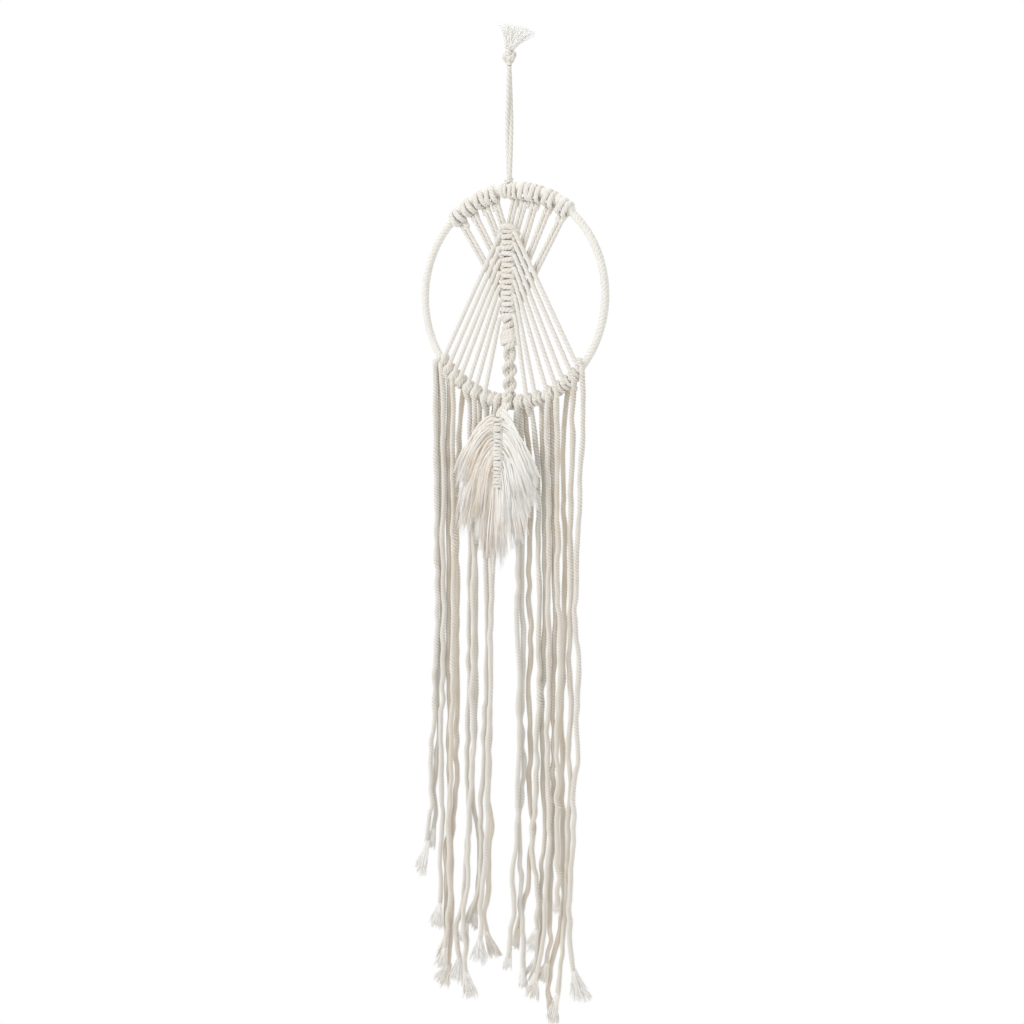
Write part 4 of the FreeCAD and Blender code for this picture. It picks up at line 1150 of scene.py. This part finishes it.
class DREAM_OT_feather(bpy.types.Operator):
    """Makes the feather: its cords, its narrow sennit and its combed-out barbs"""
    bl_idname = "dream.feather"
    bl_label = "Feather"

    def execute(self, context):
        self.cords()
        self.barbs(context)
        return {"FINISHED"}

    def cords(self):
        """The three cords it hangs by, and its core inside a narrow sennit."""
        skein = Skein()
        for sign in (-1, 0, 1):
            route = [(2.2 + sign * 1.9, -7.6 + 0.8 * abs(sign), -252.5),
                     (1.4 + sign * 2.3, -9.4, -256.0), (-0.6 + sign * 2.6, -11.4, -259.0),
                     (-1.5 + sign * 1.9, -12.2, -263.0)]
            rope(skein, smooth_line(metres(route), KNOT_STEP), 0.0037, 0.0095, 0.1, softness=0.14,
                 calm=0.3)
        hanging = skein.build("feather_hanging_cords", finish_for("wound_cotton"))
        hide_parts("feather_hanger")
        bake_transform(hanging)
        end = FEATHER_TOP - 10 * FEATHER_PITCH
        skein = Skein()
        for sign in (-1, 1):
            x = FEATHER_X + sign * 1.5
            route = [(x, FEATHER_Y, FEATHER_TOP), (x, FEATHER_Y, end)]
            rope(skein, even_line(np.array(route) * MM, TAUT_STEP), 0.0030, 0.0105, 0.15)
        core = skein.build("feather_core_cords", finish_for("taut_cotton"))
        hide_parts("feather_core")
        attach(core, "feather")
        skein = Skein()
        rng = np.random.default_rng(9)
        square_sennit(skein, rng, FEATHER_TOP, 10, FEATHER_PITCH, 4.7, 5.0, 2.65,
                      (FEATHER_X, FEATHER_Y), -0.2)
        knots = skein.build("feather_sennit", finish_for("fringe_cotton"))
        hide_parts("feather_knots")
        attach(knots, "feather")

    def barbs(self, context):
        """Locks of combed cord that sweep out and down, the upper ones lying over the lower."""
        feather = context.scene.dream_feather
        place = np.array([FEATHER_X, FEATHER_Y, FEATHER_TOP])
        # The right side takes the frayed finish, with weaker painted groove shade and less warm colour
        # than the left, which paints it lighter.
        sides = (
            ("left", -1, 21, LOCKS_LEFT, "combed_cotton"),
            ("right", 1, 22, LOCKS_RIGHT, "frayed_cotton"),
        )
        for side, sign, seed, locks, finish in sides:
            rng = np.random.default_rng(seed)
            skein = Skein()
            for lock in locks:
                self.lock(skein, rng, feather, sign, lock, place)
            piece = skein.build(f"feather_fibres_{side}", finish_for(finish))
            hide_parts(f"feather_barbs_{side}")
            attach(piece, "feather")

    def lock(self, skein, rng, feather, sign, lock, place):
        """One cord of the feather, combed out from its root to a broad blunt tip."""
        row, x, drop, depth, half_width, warm_shade = lock
        count, yarns = feather.fibres // 20, 9
        root_drop = row * FEATHER_PITCH + 2.0
        drop = 1.05 * drop + 2.0
        fall = drop - root_drop
        root = np.array([sign * min(3.0, 0.4 + 0.5 * abs(x)), 0.4 * depth - 0.6, -root_drop])
        bow = 0.60 if 3.5 < row < 6.8 and abs(x) > 30 else 0.42
        reach = 0.5 * x if abs(x) < 4 else sign * (4.0 + bow * abs(x))
        out = reach if row < 9 else sign * min(3.5, abs(x)) + 0.3 * x
        bend = np.array([out, depth - 1.4, -root_drop - (0.02 if row < 6 else 0.12) * fall])
        tip = np.array([x, depth, -drop])
        steps = np.linspace(0, 1, 16)
        t = steps[:, None]
        middle = (1 - t)**2 * root + 2 * t * (1 - t) * bend + t**2 * tip
        ways = unit(np.gradient(middle, axis=0))
        aside = unit(np.cross(ways, np.array([0.0, 1.0, 0.0])))
        deep = np.cross(aside, ways)
        own = rng.integers(0, yarns, count)
        yarn_aside = (np.linspace(-1, 1, yarns) + rng.uniform(-0.1, 0.1, yarns))[own][:, None]
        yarn_deep = rng.uniform(-1, 1, yarns)[own][:, None]
        yarn_wave = rng.uniform(0, 2 * np.pi, yarns)[own][:, None]
        yarn_tint = rng.uniform(-0.5, 0.9, yarns)[own]
        angle = rng.uniform(0, 2 * np.pi, (count, 1))
        from_yarn = np.sqrt(rng.uniform(0, 1, (count, 1)))
        open_out = steps[None, :]**1.3
        apart = 0.28 + 1.0 * open_out**2
        lateral = yarn_aside * (1.5 + (half_width - 1.5) * open_out) + apart * from_yarn * np.cos(angle)
        through = yarn_deep * (1.0 + 0.8 * open_out) + apart * from_yarn * np.sin(angle)
        swing = yarn_wave + 9.0 * steps
        lateral = lateral + 0.55 * open_out * np.sin(swing)
        lines = middle[None] + lateral[..., None] * aside + through[..., None] * deep
        keep = 1 - 0.10 * rng.uniform(0, 1, count)**2 - 0.16 * rng.uniform(0, 1, yarns)[own]
        trimmed = np.empty_like(lines)
        for i, fibre in enumerate(lines):
            for axis in range(3):
                trimmed[i, :, axis] = np.interp(steps * keep[i], steps, fibre[:, axis])
        # The lock's warmth paints warm shade where it lies in shadow; each yarn's tint is its own tone.
        shade = 0.65 * warm_shade + 0.6 * yarn_tint + rng.uniform(-0.15, 0.15, count)
        fibres(skein, (trimmed + place) * MM, feather.thickness, np.clip(shade, 0, 1.5))


class DREAM_OT_stage(bpy.types.Operator):
    """Lays the pale floor and sets the soft light"""
    bl_idname = "dream.stage"
    bl_label = "Stage"

    def execute(self, context):
        stage = context.scene.dream_stage
        mesh = bpy.data.meshes.new("floor")
        size, level = 6.0, -1.05
        corners = [(x * size, y * size, level) for x, y in ((-1, -1), (1, -1), (1, 1), (-1, 1))]
        mesh.from_pydata(corners, [], [(0, 1, 2, 3)])
        finish, tree, shader = plain_finish("pale_floor")
        place = tree.nodes.new("ShaderNodeTexCoord")
        cloud = noise_node(tree, place.outputs["Object"], 2.0, 2.0)
        pale = tuple(stage.backdrop)
        colour = ramp_node(tree, cloud, tuple(c * 0.99 for c in pale), pale)
        join(tree, colour, shader.inputs["Base Color"])
        shader.inputs["Roughness"].default_value = 0.9
        bright = tree.nodes.new("ShaderNodeEmission")
        seen = tree.nodes.new("ShaderNodeLightPath")
        mixed = tree.nodes.new("ShaderNodeMixShader")
        join(tree, seen.outputs["Is Camera Ray"], mixed.inputs["Fac"])
        join(tree, shader.outputs["BSDF"], mixed.inputs[1])
        join(tree, bright.outputs["Emission"], mixed.inputs[2])
        join(tree, mixed.outputs["Shader"], tree.nodes["Material Output"].inputs["Surface"])
        mesh.materials.append(finish)
        floor = bpy.data.objects.new("floor", mesh)
        context.scene.collection.objects.link(floor)
        self.surroundings(context.scene, stage)
        self.lamp("key_light", (-0.9, -1.3, 0.6), 1.1, stage.key_power)
        self.lamp("fill_light", (1.3, -1.1, -0.2), 1.3, stage.key_power * 0.30)
        self.lamp("floor_light", (0.0, 0.6, 1.4), 2.5, stage.key_power * 1.2)
        return {"FINISHED"}

    def surroundings(self, scene, stage):
        """Even pale surroundings: full white where seen, softer as a light."""
        world = bpy.data.worlds.new("studio")
        world.use_nodes = True
        tree = world.node_tree
        tree.nodes.clear()
        out = tree.nodes.new("ShaderNodeOutputWorld")
        seen = tree.nodes.new("ShaderNodeBackground")
        seen.inputs["Color"].default_value = (1, 1, 1, 1)
        seen.inputs["Strength"].default_value = 1.0
        glow = tree.nodes.new("ShaderNodeBackground")
        glow.inputs["Color"].default_value = (1, 0.995, 0.985, 1)
        glow.inputs["Strength"].default_value = stage.surround
        path = tree.nodes.new("ShaderNodeLightPath")
        mixed = tree.nodes.new("ShaderNodeMixShader")
        join(tree, path.outputs["Is Camera Ray"], mixed.inputs["Fac"])
        join(tree, glow.outputs["Background"], mixed.inputs[1])
        join(tree, seen.outputs["Background"], mixed.inputs[2])
        join(tree, mixed.outputs["Shader"], out.inputs["Surface"])
        scene.world = world
        scene.view_settings.view_transform = "Standard"

    def lamp(self, name, place, size, power):
        """A square soft light aimed at the middle of the object."""
        data = bpy.data.lights.new(name, "AREA")
        data.shape = "SQUARE"
        data.size = size
        data.energy = power
        lamp = bpy.data.objects.new(name, data)
        lamp.location = place
        aim = Vector((0, 0, -0.35)) - Vector(place)
        lamp.rotation_mode = "QUATERNION"
        lamp.rotation_quaternion = aim.to_track_quat("-Z", "Y")
        bpy.context.scene.collection.objects.link(lamp)


class DREAM_PT_panel(bpy.types.Panel):
    """Lists the pieces of the dream catcher"""
    bl_label = "Dream Catcher"
    bl_idname = "DREAM_PT_panel"
    bl_space_type = "VIEW_3D"
    bl_region_type = "UI"
    bl_category = "Dream Catcher"

    def draw(self, context):
        layout = self.layout
        for settings in ("dream_cords", "dream_feather", "dream_stage"):
            group = getattr(context.scene, settings)
            box = layout.box()
            for name in group.bl_rna.properties.keys():
                if name not in ("rna_type", "name"):
                    box.prop(group, name)
        for operator in OPERATORS:
            layout.operator(operator.bl_idname)


SETTINGS = {
    "dream_cords": CordSettings,
    "dream_feather": FeatherSettings,
    "dream_stage": StageSettings,
}
OPERATORS = (
    DREAM_OT_camera, DREAM_OT_fringe, DREAM_OT_hanger, DREAM_OT_hoop, DREAM_OT_upper_cords,
    DREAM_OT_spine, DREAM_OT_fans, DREAM_OT_hem, DREAM_OT_feather, DREAM_OT_stage,
)


def register():
    """Makes the settings, operators and panel known."""
    for name, settings in SETTINGS.items():
        bpy.utils.register_class(settings)
        setattr(bpy.types.Scene, name, bpy.props.PointerProperty(type=settings))
    for operator in OPERATORS:
        bpy.utils.register_class(operator)
    bpy.utils.register_class(DREAM_PT_panel)


def unregister():
    """Takes them away again."""
    bpy.utils.unregister_class(DREAM_PT_panel)
    for operator in reversed(OPERATORS):
        bpy.utils.unregister_class(operator)
    for name, settings in SETTINGS.items():
        delattr(bpy.types.Scene, name)
        bpy.utils.unregister_class(settings)


def main():
    """Builds every piece in order."""
    register()
    bpy.ops.dream.camera()
    bpy.ops.dream.fringe()
    bpy.ops.dream.hanger()
    bpy.ops.dream.hoop()
    bpy.ops.dream.upper_cords()
    bpy.ops.dream.spine()
    bpy.ops.dream.fans()
    bpy.ops.dream.hem()
    bpy.ops.dream.feather()
    bpy.ops.dream.stage()


if __name__ == "__main__":
    main()
